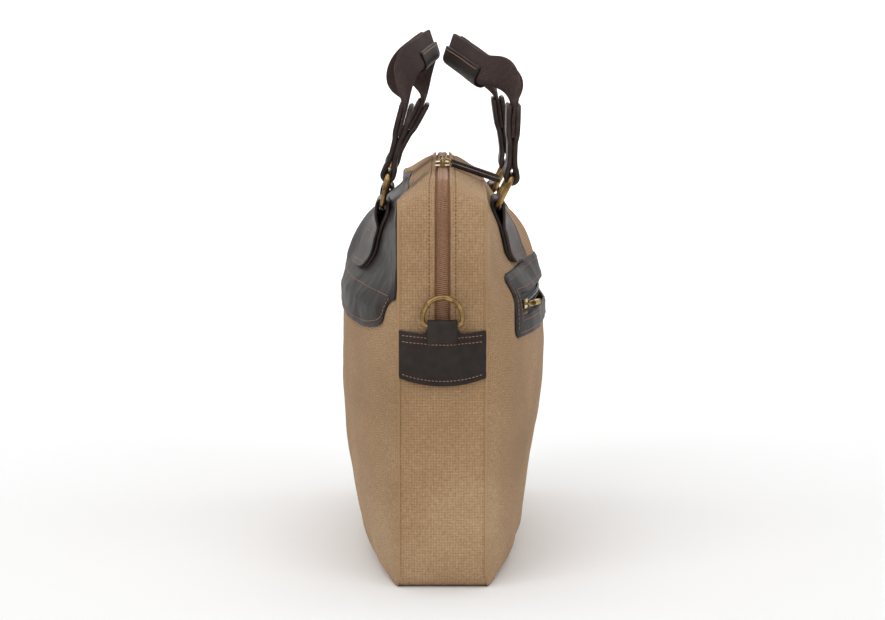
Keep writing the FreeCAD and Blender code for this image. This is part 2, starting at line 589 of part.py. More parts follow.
def slider(label, xc, nose):
    w, ln = D("slider_width"), D("slider_len")
    q = Part.makeBox(ln, w, 1.4, V(-ln / 2, -w / 2, 311.9))
    q = q.makeFillet(2.6, [e for e in q.Edges if abs(e.Vertexes[0].Z - e.Vertexes[1].Z) > 1])
    b_ = Part.makeBox(ln - 1, w - 0.6, 1.0, V(-ln / 2 + 0.5, -w / 2 + 0.3, 306.4))
    post = Part.makeBox(3.4, 2.2, 5.0, V(nose * (ln / 2 - 3.4) - 1.7, -1.1, 307.2))
    lug = Part.makeBox(3.2, 4.2, AX + 1.9 - 313.2, V(-1.6, -2.1, 313.2))
    lug = lug.makeFillet(1.2, [e for e in lug.Edges if abs(e.Vertexes[0].X - e.Vertexes[1].X) > 1 and e.Vertexes[0].Z > 315])
    q = q.fuse([b_, post, lug]).cut(Part.makeCylinder(1.0, 8, V(-4, 0, AX), V(1, 0, 0)))
    q.translate(V(xc, 0, 0))
    feature(label, q.removeSplitter() if len(q.Solids) == 1 else q)


def pull(tag, xc):
    """wire link through the slider lug and the doubled leather pull on it"""
    c, w2, r2 = 1.3, 3.2, 9.0
    q_ = c * (1 - math.cos(math.pi / 4))
    P = lambda x, y: V(x, y, 0)
    e = [Part.LineSegment(P(0, 0), P(w2 - c, 0)), Part.Arc(P(w2 - c, 0), P(w2 - q_, q_), P(w2, c)),
         Part.LineSegment(P(w2, c), P(w2, r2 - c)), Part.Arc(P(w2, r2 - c), P(w2 - q_, r2 - q_), P(w2 - c, r2)),
         Part.LineSegment(P(w2 - c, r2), P(-w2 + c, r2)), Part.Arc(P(-w2 + c, r2), P(-w2 + q_, r2 - q_), P(-w2, r2 - c)),
         Part.LineSegment(P(-w2, r2 - c), P(-w2, c)), Part.Arc(P(-w2, c), P(-w2 + q_, q_), P(-w2 + c, 0)),
         Part.LineSegment(P(-w2 + c, 0), P(0, 0))]
    lk = pipe([k.toShape() for k in e], 0.6, P(0, 0), V(1, 0, 0))
    w, t_, ln = D("pull_width"), D("pull_thick"), D("pull_len")
    lt = Part.makeBox(w, ln, t_, V(-w / 2, 7.4, -t_ / 2))
    lt = lt.makeFillet(3.0, [k for k in lt.Edges if abs(k.Vertexes[0].Z - k.Vertexes[1].Z) > 1 and k.Vertexes[0].Y > 20])
    lt = lt.cut(Part.makeCylinder(0.95, w + 2, V(-w / 2 - 1, r2, 0), V(1, 0, 0)))
    for sx in (-1, 1):
        lt = lt.cut(Part.makeBox(2.0, 5.4, t_ + 2, V(sx * w2 - 1.0, 6.0, -t_ / 2 - 1)))
    for nm, q in (("pull_link_" + tag, lk), ("pull_leather_" + tag, lt)):
        q.rotate(V(0, 0, 0), V(1, 0, 0), -19.0)
        q.translate(V(xc, 0, AX))
        feature(nm, q)


slider("zip_slider_right", D("right_slider"), -1)
slider("zip_slider_left", D("left_slider"), 1)
pull("right", D("right_slider"))
pull("left", D("left_slider"))

# ------------------------------------------------------- back pocket's zip
RP = D("pocket_radius")
ZC = 212.0
YC = half_depth(1, 0.0, ZC) - RP
ANG = math.degrees(math.asin(D("pocket_half") / RP))


def arc_strip(r0, r1, z0, z1, half):
    ANG = math.degrees(math.asin(half / RP))
    a = Part.makeCylinder(r1, z1 - z0, V(0, YC, z0), V(0, 0, 1), 2 * ANG)
    b_ = Part.makeCylinder(r0, z1 - z0 + 2, V(0, YC, z0 - 1), V(0, 0, 1), 360)
    q = a.cut(b_)
    q.rotate(V(0, YC, 0), V(0, 0, 1), 90 - ANG)
    return q


feature("pocket_tape_lower", arc_strip(RP - 4.0, RP - 3.3, 199.0, 211.2, 142.2))
feature("pocket_tape_upper", arc_strip(RP - 4.0, RP - 3.3, 212.8, 218.6, 142.2))
feature("pocket_coil_lower", arc_strip(RP - 3.2, RP - 0.8, 209.0, 211.2, 141.6))
feature("pocket_coil_upper", arc_strip(RP - 3.2, RP - 0.8, 212.8, 215.0, 141.6))
TH0 = -math.degrees(math.asin(134.0 / RP))


def at_pocket(q):
    q.translate(V(0, YC + RP, ZC))
    q.rotate(V(0, YC, 0), V(0, 0, 1), TH0)
    return q


top_ = Part.makeBox(10, 1.0, 7.2, V(-5, -0.4, -3.6))
bot_ = Part.makeBox(9, 1.0, 6.8, V(-4.5, -5.5, -3.4))
pst_ = Part.makeBox(2.4, 4.3, 1.0, V(1.8, -4.6, -0.5))
lug_ = Part.makeBox(3.2, 3.9, 2.0, V(-1.6, 0.5, -1.0))
ps_ = top_.fuse([bot_, pst_, lug_]).cut(Part.makeCylinder(0.85, 4, V(0, 3.2, -2), V(0, 0, 1)))
feature("pocket_slider", at_pocket(ps_))
pp_ = Part.makeBox(8.0, 1.0, 4.4, V(-8.0, -0.5, -2.2)).cut(Part.makeBox(7.0, 3.0, 2.8, V(-7.0, -1.5, -1.4)))
pp_ = pp_.fuse([Part.makeCylinder(0.5, 4.4, V(0, 0, -2.2), V(0, 0, 1)), Part.makeCylinder(2.2, 9.0, V(-7.5, 0, 0), V(-1, 0, 0))])
pp_.rotate(V(0, 0, 0), V(0, 0, 1), -14.0)
pp_.translate(V(0, 3.2, 0))
feature("pocket_pull", at_pocket(pp_))

# --------------------------------------------------------- check and write
doc.recompute()
bad = []
for o in doc.Objects:
    if any(k in ("Invalid", "Error") for k in o.State):
        bad.append("%s state %s" % (o.Name, o.State))
names = set()
for label, o in OUT:
    s_ = o.Shape
    if s_.isNull() or not s_.isValid():
        bad.append("%s null or not valid" % label)
    elif not s_.Solids:
        bad.append("%s has no solid" % label)
    if label in names or len(label) >= 60:
        bad.append("%s name" % label)
    names.add(label)
    print("%-24s %9.0f mm3 %d solid(s)" % (label, s_.Volume, len(s_.Solids)))
if bad:
    raise RuntimeError("; ".join(bad))
print("pocket arc centre Y %.4f" % YC)
os.makedirs("parts", exist_ok=True)
for label, o in OUT:
    o.Shape.exportStep("parts/%s.step" % label)
print(len(OUT), "files written")
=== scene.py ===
import bpy, bmesh, math
import numpy as np
from mathutils import Vector, Matrix, noise


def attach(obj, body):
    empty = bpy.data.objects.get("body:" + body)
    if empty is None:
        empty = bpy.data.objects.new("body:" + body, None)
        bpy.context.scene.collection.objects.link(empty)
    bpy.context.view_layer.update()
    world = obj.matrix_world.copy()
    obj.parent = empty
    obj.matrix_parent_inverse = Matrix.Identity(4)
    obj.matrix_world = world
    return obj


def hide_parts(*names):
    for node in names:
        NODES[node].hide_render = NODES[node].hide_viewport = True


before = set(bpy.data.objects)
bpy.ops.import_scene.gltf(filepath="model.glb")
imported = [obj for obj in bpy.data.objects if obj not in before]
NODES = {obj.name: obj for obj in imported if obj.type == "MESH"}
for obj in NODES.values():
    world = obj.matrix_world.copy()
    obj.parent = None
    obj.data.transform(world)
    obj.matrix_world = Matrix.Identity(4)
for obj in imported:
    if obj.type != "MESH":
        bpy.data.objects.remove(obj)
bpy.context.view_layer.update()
MM = 0.001


# ------------------------------------------------------------ shell shape
L, TOP, G = 195.0, 312.0, 33.0
ZF = [0, 9, 34, 77, 119, 165, 196, 217, 250, 270, 282, 292, 299, 312]
MF = [50, 60.5, 69.5, 77.5, 81.5, 82.5, 82.5, 81.5, 73, 60.5, 48, 39.5, 34, 33]
MB = [50, 60, 66.5, 73.5, 80.5, 84, 82.5, 80.0, 72, 60.0, 47, 39, 34, 33]


def table(xs, ys, x):
    if x <= xs[0]:
        return ys[0]
    n = len(xs)
    for i in range(n - 1):
        if x <= xs[i + 1]:
            p0, p1, p2, p3 = ys[max(i - 1, 0)], ys[i], ys[i + 1], ys[min(i + 2, n - 1)]
            x0, x1, x2, x3 = xs[max(i - 1, 0)], xs[i], xs[i + 1], xs[min(i + 2, n - 1)]
            m1 = (p2 - p0) / max(x2 - x0, 1e-6); m2 = (p3 - p1) / max(x3 - x1, 1e-6)
            w = x2 - x1; u = (x - x1) / w
            return ((2*u**3 - 3*u*u + 1)*p1 + (u**3 - 2*u*u + u)*w*m1 + (-2*u**3 + 3*u*u)*p2 + (u**3 - u*u)*w*m2)
    return ys[-1]


def smooth(a, b, x):
    u = min(1.0, max(0.0, (x - a) / (b - a)))
    return u * u * (3 - 2 * u)


SHOULDER = 19.0


def tuck(x):
    return 8.0 * (1 - smooth(95, 168, abs(x)))


def drop(x):
    u = min(1.0, abs(x) / 165.0)
    return 12.0 + (SHOULDER - 12.0) * u ** 5


def half_depth(side, x, z):
    zz = z * 299.0 / (TOP - drop(x))
    m = table(ZF, MF if side < 0 else MB, zz)
    a = min(1.0, abs(x) / L)
    full = max(0.0, 1 - a ** 2.2) ** 0.75
    tri = max(0.0, 1 - a) ** 1.2
    w = smooth(215, 252, zz)
    hd = G + (m - G) * (full * (1 - w) + tri * w)
    if side < 0:
        hd -= tuck(x) * smooth(280, 299, zz)
    return hd


def top_line(x):
    """z of the top seam at station x"""
    ax = abs(x)
    if ax <= 165.0:
        return TOP - drop(x)
    q = min(30.0, ax - 165.0)
    lo, hi = 0.0, math.pi / 2
    for _ in range(26):
        t = (lo + hi) / 2
        if (30 - SHOULDER * smooth(0, 1, t / (math.pi / 2))) * math.cos(t) > q:
            lo = t
        else:
            hi = t
    return TOP - 30 + (30 - SHOULDER * smooth(0, 1, t / (math.pi / 2))) * math.sin(t)


def bot_line(x):
    ax = abs(x)
    if ax <= 185.0:
        return 0.0
    c = min(1.0, (ax - 185.0) / 10.0)
    return 10.0 - 10.0 * math.sqrt(max(0.0, 1 - c * c))


def nz3(x, y, z, s=1.0, seed=0.0):
    return noise.noise(Vector((x * s + seed, y * s + seed * 1.7, z * s - seed)))


def wrinkle(side, x, z):
    """soft unevenness of the stuffed canvas, millimetres"""
    ex = smooth(0, 26, L - abs(x)); ez = smooth(0, 14, z) * smooth(0, 10, top_line(x) - z)
    v = 1.5 * nz3(x, side * 50, z, 0.018, 3.1 + side) + 0.8 * nz3(x, side * 9, z, 0.045, 7.7 + side)
    # drag folds that run down and inwards from the end seams
    d = L - abs(x)
    v += 1.3 * math.exp(-(d / 34.0)) * math.sin(z * 0.19 + 0.03 * d + side) * smooth(40, 90, z) * (0.4 + 0.6 * abs(nz3(z * .02, side, x, 1, 5)))
    v += 0.9 * math.exp(-((z - 18) / 12.0) ** 2) * math.sin(x * 0.11 + 2 * side + 1.5 * nz3(x, z, side, .01, 2))
    return v * ex * ez


def shell_y(side, x, z, off=0.0, wr=1.0):
    return side * (half_depth(side, x, z) + off + wr * wrinkle(side, x, z))


# ------------------------------------------------------------ mesh makers
def new_obj(name, verts, faces, mat, body, uv=None, smooth_angle=40):
    me = bpy.data.meshes.new(name)
    me.from_pydata([tuple(np.array(v) * MM) for v in verts], [], faces)
    me.validate()
    ob = bpy.data.objects.new(name, me)
    bpy.context.scene.collection.objects.link(ob)
    if uv is not None:
        lay = me.uv_layers.new(name="mm")
        for lp in me.loops:
            lay.data[lp.index].uv = uv[lp.vertex_index]
    bm = bmesh.new(); bm.from_mesh(me)
    bmesh.ops.recalc_face_normals(bm, faces=bm.faces)
    bm.to_mesh(me); bm.free()
    me.materials.append(mat)
    for p in me.polygons:
        p.use_smooth = True
    me.set_sharp_from_angle(angle=math.radians(smooth_angle))
    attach(ob, body)
    return ob


def normals(P):
    du = np.gradient(P, axis=0); dv = np.gradient(P, axis=1)
    n = np.cross(du, dv)
    ln = np.linalg.norm(n, axis=2, keepdims=True); ln[ln < 1e-9] = 1
    return n / ln


def slab(name, P, thick, mat, body, outward, uv=None, round_edge=0.4, hole=None, angle=60):
    """closed sheet: P is the outer face (nu x nv x 3, mm), thickened inwards with a rounded rim"""
    nu, nv = P.shape[:2]
    N = normals(P)
    c = P[nu // 2, nv // 2]
    o = np.array(outward(c)) if callable(outward) else np.array(outward)
    if np.dot(N[nu // 2, nv // 2], o) < 0:
        N = -N
    Q = P - N * thick
    verts = list(P.reshape(-1, 3)) + list(Q.reshape(-1, 3))
    idx = lambda i, j: i * nv + j
    K = nu * nv
    faces = []
    for i in range(nu - 1):
        for j in range(nv - 1):
            faces.append((idx(i, j), idx(i + 1, j), idx(i + 1, j + 1), idx(i, j + 1)))
            faces.append((K + idx(i, j), K + idx(i, j + 1), K + idx(i + 1, j + 1), K + idx(i + 1, j)))
    loop = [(i, 0) for i in range(nu)] + [(nu - 1, j) for j in range(1, nv)] + [(i, nv - 1) for i in range(nu - 2, -1, -1)] + [(0, j) for j in range(nv - 2, 0, -1)]
    rim = []
    for (i, j) in loop:
        ii = 1 if i == 0 else (nu - 2 if i == nu - 1 else i)
        jj = 1 if j == 0 else (nv - 2 if j == nv - 1 else j)
        t = P[i, j] - P[ii, jj]
        t = t / (np.linalg.norm(t) + 1e-9)
        rim.append((P[i, j] + Q[i, j]) / 2 + t * thick * round_edge)
    R0 = len(verts); verts += rim
    n = len(loop)
    for k in range(n):
        a, b = loop[k], loop[(k + 1) % n]
        faces.append((idx(*a), idx(*b), R0 + (k + 1) % n, R0 + k))
        faces.append((R0 + k, R0 + (k + 1) % n, K + idx(*b), K + idx(*a)))
    if uv is not None:
        flat = [tuple(v) for v in uv.reshape(-1, 2)]
        uvs = flat + flat + [flat[idx(*q)] for q in loop]
    else:
        uvs = None
    return new_obj(name, verts, faces, mat, body, uvs, angle)


def arc_uv(P):
    """millimetre coordinates measured along the sheet"""
    du = np.linalg.norm(np.diff(P, axis=0), axis=2); dv = np.linalg.norm(np.diff(P, axis=1), axis=2)
    nu, nv = P.shape[:2]
    U = np.zeros((nu, nv)); W = np.zeros((nu, nv))
    U[1:, :] = np.cumsum(du, axis=0); W[:, 1:] = np.cumsum(dv, axis=1)
    mid = nv // 2
    U = np.repeat(U[:, mid:mid + 1], nv, axis=1)
    W = W - W[:, mid:mid + 1]
    return np.stack([U, W], axis=2) * 0.001


def tube(name, pts, r, mat, body, n=10, closed=False, flat=1.0, up=None):
    pts = [np.array(p, float) for p in pts]
    m = len(pts)
    verts, faces = [], []
    nrm = None
    for i, p in enumerate(pts):
        a = pts[(i - 1) % m] if (closed or i > 0) else p
        b = pts[(i + 1) % m] if (closed or i < m - 1) else p
        t = b - a; t = t / (np.linalg.norm(t) + 1e-12)
        if nrm is None:
            g = np.array([0, 0, 1.0]) if abs(t[2]) < .9 else np.array([1.0, 0, 0])
            nrm = g - t * np.dot(g, t)
        else:
            nrm = nrm - t * np.dot(nrm, t)
        nrm = nrm / np.linalg.norm(nrm)
        bi = np.cross(t, nrm)
        for k in range(n):
            w = 2 * math.pi * k / n
            verts.append(p + (nrm * math.cos(w) + bi * math.sin(w)) * r)
    for i in range(m if closed else m - 1):
        for k in range(n):
            a = i * n + k; b = i * n + (k + 1) % n; c = ((i + 1) % m) * n + (k + 1) % n; d = ((i + 1) % m) * n + k
            faces.append((a, b, c, d))
    if not closed:
        faces.append(tuple(range(n - 1, -1, -1))); faces.append(tuple((m - 1) * n + k for k in range(n)))
    return new_obj(name, verts, faces, mat, body, None, 60)


def resample(pts, step):
    pts = [np.array(p, float) for p in pts]
    s = [0.0]
    for a, b in zip(pts[:-1], pts[1:]):
        s.append(s[-1] + np.linalg.norm(b - a))
    n = max(1, int(round(s[-1] / step)))
    out = []
    for k in range(n + 1):
        d = s[-1] * k / n
        i = max(0, min(len(pts) - 2, np.searchsorted(s, d) - 1))
        f = (d - s[i]) / max(1e-9, s[i + 1] - s[i])
        out.append(pts[i] * (1 - f) + pts[i + 1] * f)
    return out


class Threads:
    """a row of sewn stitches: short rounded thread lengths sunk in the surface"""
    def __init__(self):
        self.v, self.f = [], []

    def stitch(self, a, b, n, r):
        t = b - a; ln = np.linalg.norm(t)
        if ln < 1e-6:
            return
        t = t / ln; n = n - t * np.dot(n, t); n = n / (np.linalg.norm(n) + 1e-9); s = np.cross(t, n)
        prof = [(0.0, .0, -.55), (.10, .75, -.05), (.32, 1.0, .30), (.68, 1.0, .30), (.90, .75, -.05), (1.0, .0, -.55)]
        base = len(self.v); K = 6
        for f, rr, h in prof[1:-1]:
            c = a + t * ln * f + n * r * h
            for k in range(K):
                w = 2 * math.pi * k / K
                self.v.append(c + (s * math.cos(w) + n * .8 * math.sin(w)) * r * rr)
        e0 = len(self.v); self.v.append(a + n * r * prof[0][2]); e1 = len(self.v); self.v.append(b + n * r * prof[0][2])
        for q in range(3):
            for k in range(K):
                self.f.append((base + q * K + k, base + q * K + (k + 1) % K, base + (q + 1) * K + (k + 1) % K, base + (q + 1) * K + k))
        for k in range(K):
            self.f.append((e0, base + (k + 1) % K, base + k))
            self.f.append((e1, base + 3 * K + k, base + 3 * K + (k + 1) % K))

    def row(self, pts, nrm, pitch=3.5, r=0.42, gap=0.24, closed=False):
        """pts: surface points; nrm: function(point) or fixed normal"""
        p = resample(pts, pitch)
        for a, b in zip(p[:-1], p[1:]):
            n = np.array(nrm(0.5 * (a + b)) if callable(nrm) else nrm, float)
            d = b - a
            self.stitch(a + d * gap * .5, b - d * gap * .5, n, r)

    def make(self, name, mat, body):
        return new_obj(name, self.v, self.f, mat, body, None, 80)


# ------------------------------------------------------------ materials
class Nodes:
    def __init__(self, name):
        self.mat = bpy.data.materials.new(name)
        self.mat.use_nodes = True
        self.t = self.mat.node_tree
        self.t.nodes.clear()
        self.out = self.n("ShaderNodeOutputMaterial")
        self.b = self.n("ShaderNodeBsdfPrincipled")
        self.t.links.new(self.b.outputs[0], self.out.inputs[0])

    def n(self, kind, **kw):
        q = self.t.nodes.new(kind)
        for k, v in kw.items():
            setattr(q, k, v)
        return q

    def link(self, a, b):
        self.t.links.new(a, b)

    def math(self, op, a, b=None, c=None):
        q = self.n("ShaderNodeMath", operation=op)
        for i, v in enumerate((a, b, c)):
            if v is None:
                continue
            if hasattr(v, "links"):
                self.link(v, q.inputs[i])
            else:
                q.inputs[i].default_value = v
        return q.outputs[0]

    def noise(self, vec, scale, detail=3.0, rough=0.55, out="Fac"):
        q = self.n("ShaderNodeTexNoise")
        q.inputs["Scale"].default_value = scale; q.inputs["Detail"].default_value = detail
        q.inputs["Roughness"].default_value = rough
        self.link(vec, q.inputs["Vector"])
        return q.outputs[out]

    def ramp(self, fac, stops):
        q = self.n("ShaderNodeValToRGB")
        e = q.color_ramp.elements
        while len(e) < len(stops):
            e.new(0.5)
        for k, (p, c) in enumerate(stops):
            e[k].position = p; e[k].color = (*c, 1)
        self.link(fac, q.inputs[0])
        return q.outputs[0]

    def bump(self, height, strength, dist, prev=None):
        q = self.n("ShaderNodeBump")
        q.inputs["Strength"].default_value = strength; q.inputs["Distance"].default_value = dist
        self.link(height, q.inputs["Height"])
        if prev is not None:
            self.link(prev, q.inputs["Normal"])
        return q.outputs[0]


def lin(r, g, b):
    f = lambda c: (c / 255 / 12.92) if c / 255 <= 0.04045 else ((c / 255 + 0.055) / 1.055) ** 2.4
    return (f(r), f(g), f(b))


def weave_heights(m, vec, pitch_u, pitch_v):
    """plain weave height from coordinates in metres"""
    sp = m.n("ShaderNodeSeparateXYZ"); m.link(vec, sp.inputs[0])
    a = m.math("MULTIPLY", sp.outputs[0], math.pi / pitch_u); b = m.math("MULTIPLY", sp.outputs[1], math.pi / pitch_v)
    sa, sb = m.math("SINE", a), m.math("SINE", b)
    ca, cb = m.math("COSINE", a), m.math("COSINE", b)
    over = m.math("MULTIPLY", sa, sb)
    wa = m.math("ABSOLUTE", ca); wb = m.math("ABSOLUTE", cb)
    g = m.math("GREATER_THAN", m.math("MULTIPLY", m.math("SIGN", ca), m.math("SIGN", cb)), 0.0)
    one = m.math("SUBTRACT", 1.0, g)
    h = m.math("ADD", m.math("MULTIPLY", g, wa), m.math("MULTIPLY", one, wb))
    return h


def uv_vec(m, warp=0.0):
    uv = m.n("ShaderNodeUVMap", uv_map="mm")
    if not warp:
        return uv.outputs[0]
    nz = m.n("ShaderNodeTexNoise"); nz.inputs["Scale"].default_value = 90.0
    m.link(uv.outputs[0], nz.inputs["Vector"])
    mix = m.n("ShaderNodeVectorMath", operation="MULTIPLY_ADD")
    m.link(nz.outputs["Color"], mix.inputs[0]); mix.inputs[1].default_value = (warp, warp, 0)
    m.link(uv.outputs[0], mix.inputs[2])
    return mix.outputs[0]


def fabric(name, base, dark, light, pitch=0.0009, bump=0.35, rough=0.93, sheen=0.25, weave_valley_shade=0.35, pitch_v=None, rib=0.0):
    m = Nodes(name)
    uv = uv_vec(m, 0.0006)
    obj = m.n("ShaderNodeTexCoord").outputs["Object"]
    h = weave_heights(m, uv, pitch, pitch_v or pitch)
    # yarn slubs: noise stretched along each yarn direction
    mp = m.n("ShaderNodeMapping"); m.link(uv, mp.inputs[0]); mp.inputs["Scale"].default_value = (240, 760, 1)
    mq = m.n("ShaderNodeMapping"); m.link(uv, mq.inputs[0]); mq.inputs["Scale"].default_value = (760, 240, 1)
    s1 = m.noise(mp.outputs[0], 1.0, 2.0); s2 = m.noise(mq.outputs[0], 1.0, 2.0)
    slub = m.math("ADD", m.math("MULTIPLY", s1, 0.5), m.math("MULTIPLY", s2, 0.5))
    big = m.noise(obj, 9.0, 4.0); fine = m.noise(obj, 380.0, 2.0)
    f = m.math("ADD", m.math("MULTIPLY", big, 0.45), m.math("MULTIPLY", slub, 0.55))
    col = m.ramp(f, [(0.34, dark), (0.5, base), (0.66, light)])
    # painted shade: the base colour is multiplied darker where the weave height is low, in the valleys between yarns
    mix = m.n("ShaderNodeMixRGB", blend_type="MULTIPLY"); mix.inputs[0].default_value = weave_valley_shade
    m.link(col, mix.inputs[1])
    m.link(m.ramp(h, [(0.0, (0.45, 0.42, 0.40)), (0.75, (1, 1, 1))]), mix.inputs[2])
    m.link(mix.outputs[0], m.b.inputs["Base Color"])
    m.b.inputs["Roughness"].default_value = rough
    m.b.inputs["Specular IOR Level"].default_value = 0.25
    m.b.inputs["Sheen Weight"].default_value = sheen
    m.b.inputs["Sheen Roughness"].default_value = 0.6
    n = m.bump(slub, 0.25, 0.0008)
    n = m.bump(h, bump, 0.0004, n)
    n = m.bump(m.noise(obj, 55.0, 3.0), 0.25, 0.0015, n)
    m.link(n, m.b.inputs["Normal"])
    return m.mat


def leather(name, base, dark, light, rough=(0.34, 0.55), grain=650.0, coat=0.12, bump=0.35):
    m = Nodes(name)
    obj = m.n("ShaderNodeTexCoord").outputs["Object"]
    vo = m.n("ShaderNodeTexVoronoi"); vo.inputs["Scale"].default_value = grain; m.link(obj, vo.inputs["Vector"])
    cells = vo.outputs["Distance"]
    big = m.noise(obj, 14.0, 4.0); mid = m.noise(obj, 120.0, 3.0)
    f = m.math("ADD", m.math("MULTIPLY", big, 0.6), m.math("MULTIPLY", mid, 0.4))
    m.link(m.ramp(f, [(0.35, dark), (0.5, base), (0.68, light)]), m.b.inputs["Base Color"])
    r = m.n("ShaderNodeMapRange"); m.link(f, r.inputs[0])
    r.inputs["From Min"].default_value = 0.35; r.inputs["From Max"].default_value = 0.65
    r.inputs["To Min"].default_value = rough[0]; r.inputs["To Max"].default_value = rough[1]
    m.link(r.outputs[0], m.b.inputs["Roughness"])
    m.b.inputs["Specular IOR Level"].default_value = 0.24
    m.b.inputs["Coat Weight"].default_value = coat
    m.b.inputs["Coat Roughness"].default_value = 0.35
    n = m.bump(cells, bump, 0.00025)
    n = m.bump(mid, 0.3, 0.0006, n)
    n = m.bump(m.noise(obj, 40.0, 3.0), 0.35, 0.0016, n)
    m.link(n, m.b.inputs["Normal"])
    return m.mat


def metal(name, base, dark, rough=(0.22, 0.42)):
    m = Nodes(name)
    obj = m.n("ShaderNodeTexCoord").outputs["Object"]
    f = m.noise(obj, 160.0, 4.0); g = m.noise(obj, 900.0, 2.0)
    m.link(m.ramp(f, [(0.36, dark), (0.6, base)]), m.b.inputs["Base Color"])
    m.b.inputs["Metallic"].default_value = 1.0
    r = m.n("ShaderNodeMapRange"); m.link(f, r.inputs[0])
    r.inputs["To Min"].default_value = rough[1]; r.inputs["To Max"].default_value = rough[0]
    m.link(r.outputs[0], m.b.inputs["Roughness"])
    m.link(m.bump(g, 0.08, 0.0002), m.b.inputs["Normal"])
    return m.mat


def plastic(name, base, rough=0.4, bump=0.2, scale=500.0, dark=None):
    m = Nodes(name)
    obj = m.n("ShaderNodeTexCoord").outputs["Object"]
    f = m.noise(obj, scale, 3.0)
    m.link(m.ramp(f, [(0.35, dark or tuple(c * .8 for c in base)), (0.6, base)]), m.b.inputs["Base Color"])
    m.b.inputs["Roughness"].default_value = rough
    m.link(m.bump(f, bump, 0.0002), m.b.inputs["Normal"])
    return m.mat


CANVAS = fabric("canvas", lin(170, 137, 101), lin(146, 115, 82), lin(196, 166, 130), pitch=0.0021, bump=0.6, weave_valley_shade=0.62, sheen=0.06)
LEATHER = leather("leather", lin(40, 33, 29), lin(29, 24, 21), lin(54, 46, 41), rough=(0.44, 0.62), coat=0.03)
LEATHER2 = leather("leather_sleeve", lin(56, 45, 41), lin(38, 30, 27), lin(82, 68, 62), rough=(0.40, 0.58), coat=0.05, bump=0.6)
EDGE = leather("leather_edge", lin(92, 82, 76), lin(70, 60, 56), lin(120, 108, 100), rough=(0.5, 0.7), coat=0.0)
WEB = fabric("webbing", lin(64, 48, 45), lin(48, 36, 34), lin(84, 66, 62), pitch=0.0016, pitch_v=0.0012, bump=0.6, weave_valley_shade=0.5, sheen=0.03)
TAPE = fabric("zip_tape", lin(164, 122, 92), lin(138, 100, 74), lin(186, 146, 114), pitch=0.0009, bump=0.4, sheen=0.05)
LINING = fabric("lining", lin(95, 84, 72), lin(80, 70, 60), lin(110, 97, 84), pitch=0.0005, bump=0.2)
COIL = plastic("zip_coil", lin(176, 132, 100), 0.30)
BLACK = plastic("pocket_zip", lin(22, 21, 21), 0.26)
BTAPE = fabric("pocket_tape", lin(28, 27, 27), lin(20, 19, 19), lin(38, 36, 36), pitch=0.0007, bump=0.35)
BRASS = metal("antique_brass", lin(176, 146, 96), lin(120, 94, 56))
BRASS2 = metal("bright_brass", lin(196, 168, 110), lin(150, 122, 72), (0.16, 0.34))
BOARD = plastic("board", lin(60, 56, 52), 0.8)
# painted shade: the pocket frame uses a darker copy of the bag leather, standing in for shade on the frame
LEATHER_POCKET_SHADED = leather("leather_pocket_painted_shade", lin(27, 23, 20), lin(20, 17, 15), lin(38, 32, 28), rough=(0.46, 0.64), coat=0.02)
THREAD = fabric("thread_tan", lin(168, 124, 98), lin(140, 100, 78), lin(190, 148, 120), pitch=0.0004, bump=0.2, sheen=0.05)
CTHREAD = fabric("thread_canvas", lin(134, 96, 64), lin(112, 78, 52), lin(152, 112, 78), pitch=0.0004, bump=0.2, sheen=0.05)


def give(names, mat):
    for n in names:
        o = NODES[n]
        o.data.materials.clear(); o.data.materials.append(mat)


give([n for n in NODES if n.startswith("ring_") or n.startswith("d_ring")], BRASS)
give([n for n in NODES if n.startswith("zip_slider") or n.startswith("pull_link") or n in ("pocket_slider", "pocket_pull", "zip_stops")], BRASS2)
give([n for n in NODES if n.startswith("sleeve") or n.startswith("handle_tab") or n.startswith("d_tab")], LEATHER2)
give(["end_band_right", "end_band_left", "pocket_frame", "front_yoke", "grip_front", "grip_back", "pull_leather_right", "pull_leather_left"], LEATHER)
give(["front_lining", "back_lining", "gusset_lining", "pocket_bag"], LINING)
give(["base_board"], BOARD)
give(["front_panel", "back_panel", "bottom_panel", "end_gusset_right", "end_gusset_left", "top_strip_front", "top_strip_back"], CANVAS)
give(["webbing_front", "webbing_back"], WEB)
give(["zip_tape_front", "zip_tape_back"], TAPE)
give(["zip_coil_front", "zip_coil_back"], COIL)
give(["pocket_tape_lower", "pocket_tape_upper"], BTAPE)
give(["pocket_coil_lower", "pocket_coil_upper"], BLACK)

# ------------------------------------------------------------ canvas panels
NU, NV = ((150, 96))


def panel(side):
    P = np.zeros((NU + 1, NV + 1, 3))
    for i in range(NU + 1):
        x = 195.0 * math.sin(math.pi / 2 * (2 * i / NU - 1) * 0.985) / math.sin(math.pi / 2 * 0.985)
        zb, zt = bot_line(x), top_line(x)
        for j in range(NV + 1):
            v = j / NV
            v = 0.5 - 0.5 * math.cos(math.pi * v) if False else v
            z = zb + (zt - zb) * v
            P[i, j] = (x, shell_y(side, x, z), z)
    return P


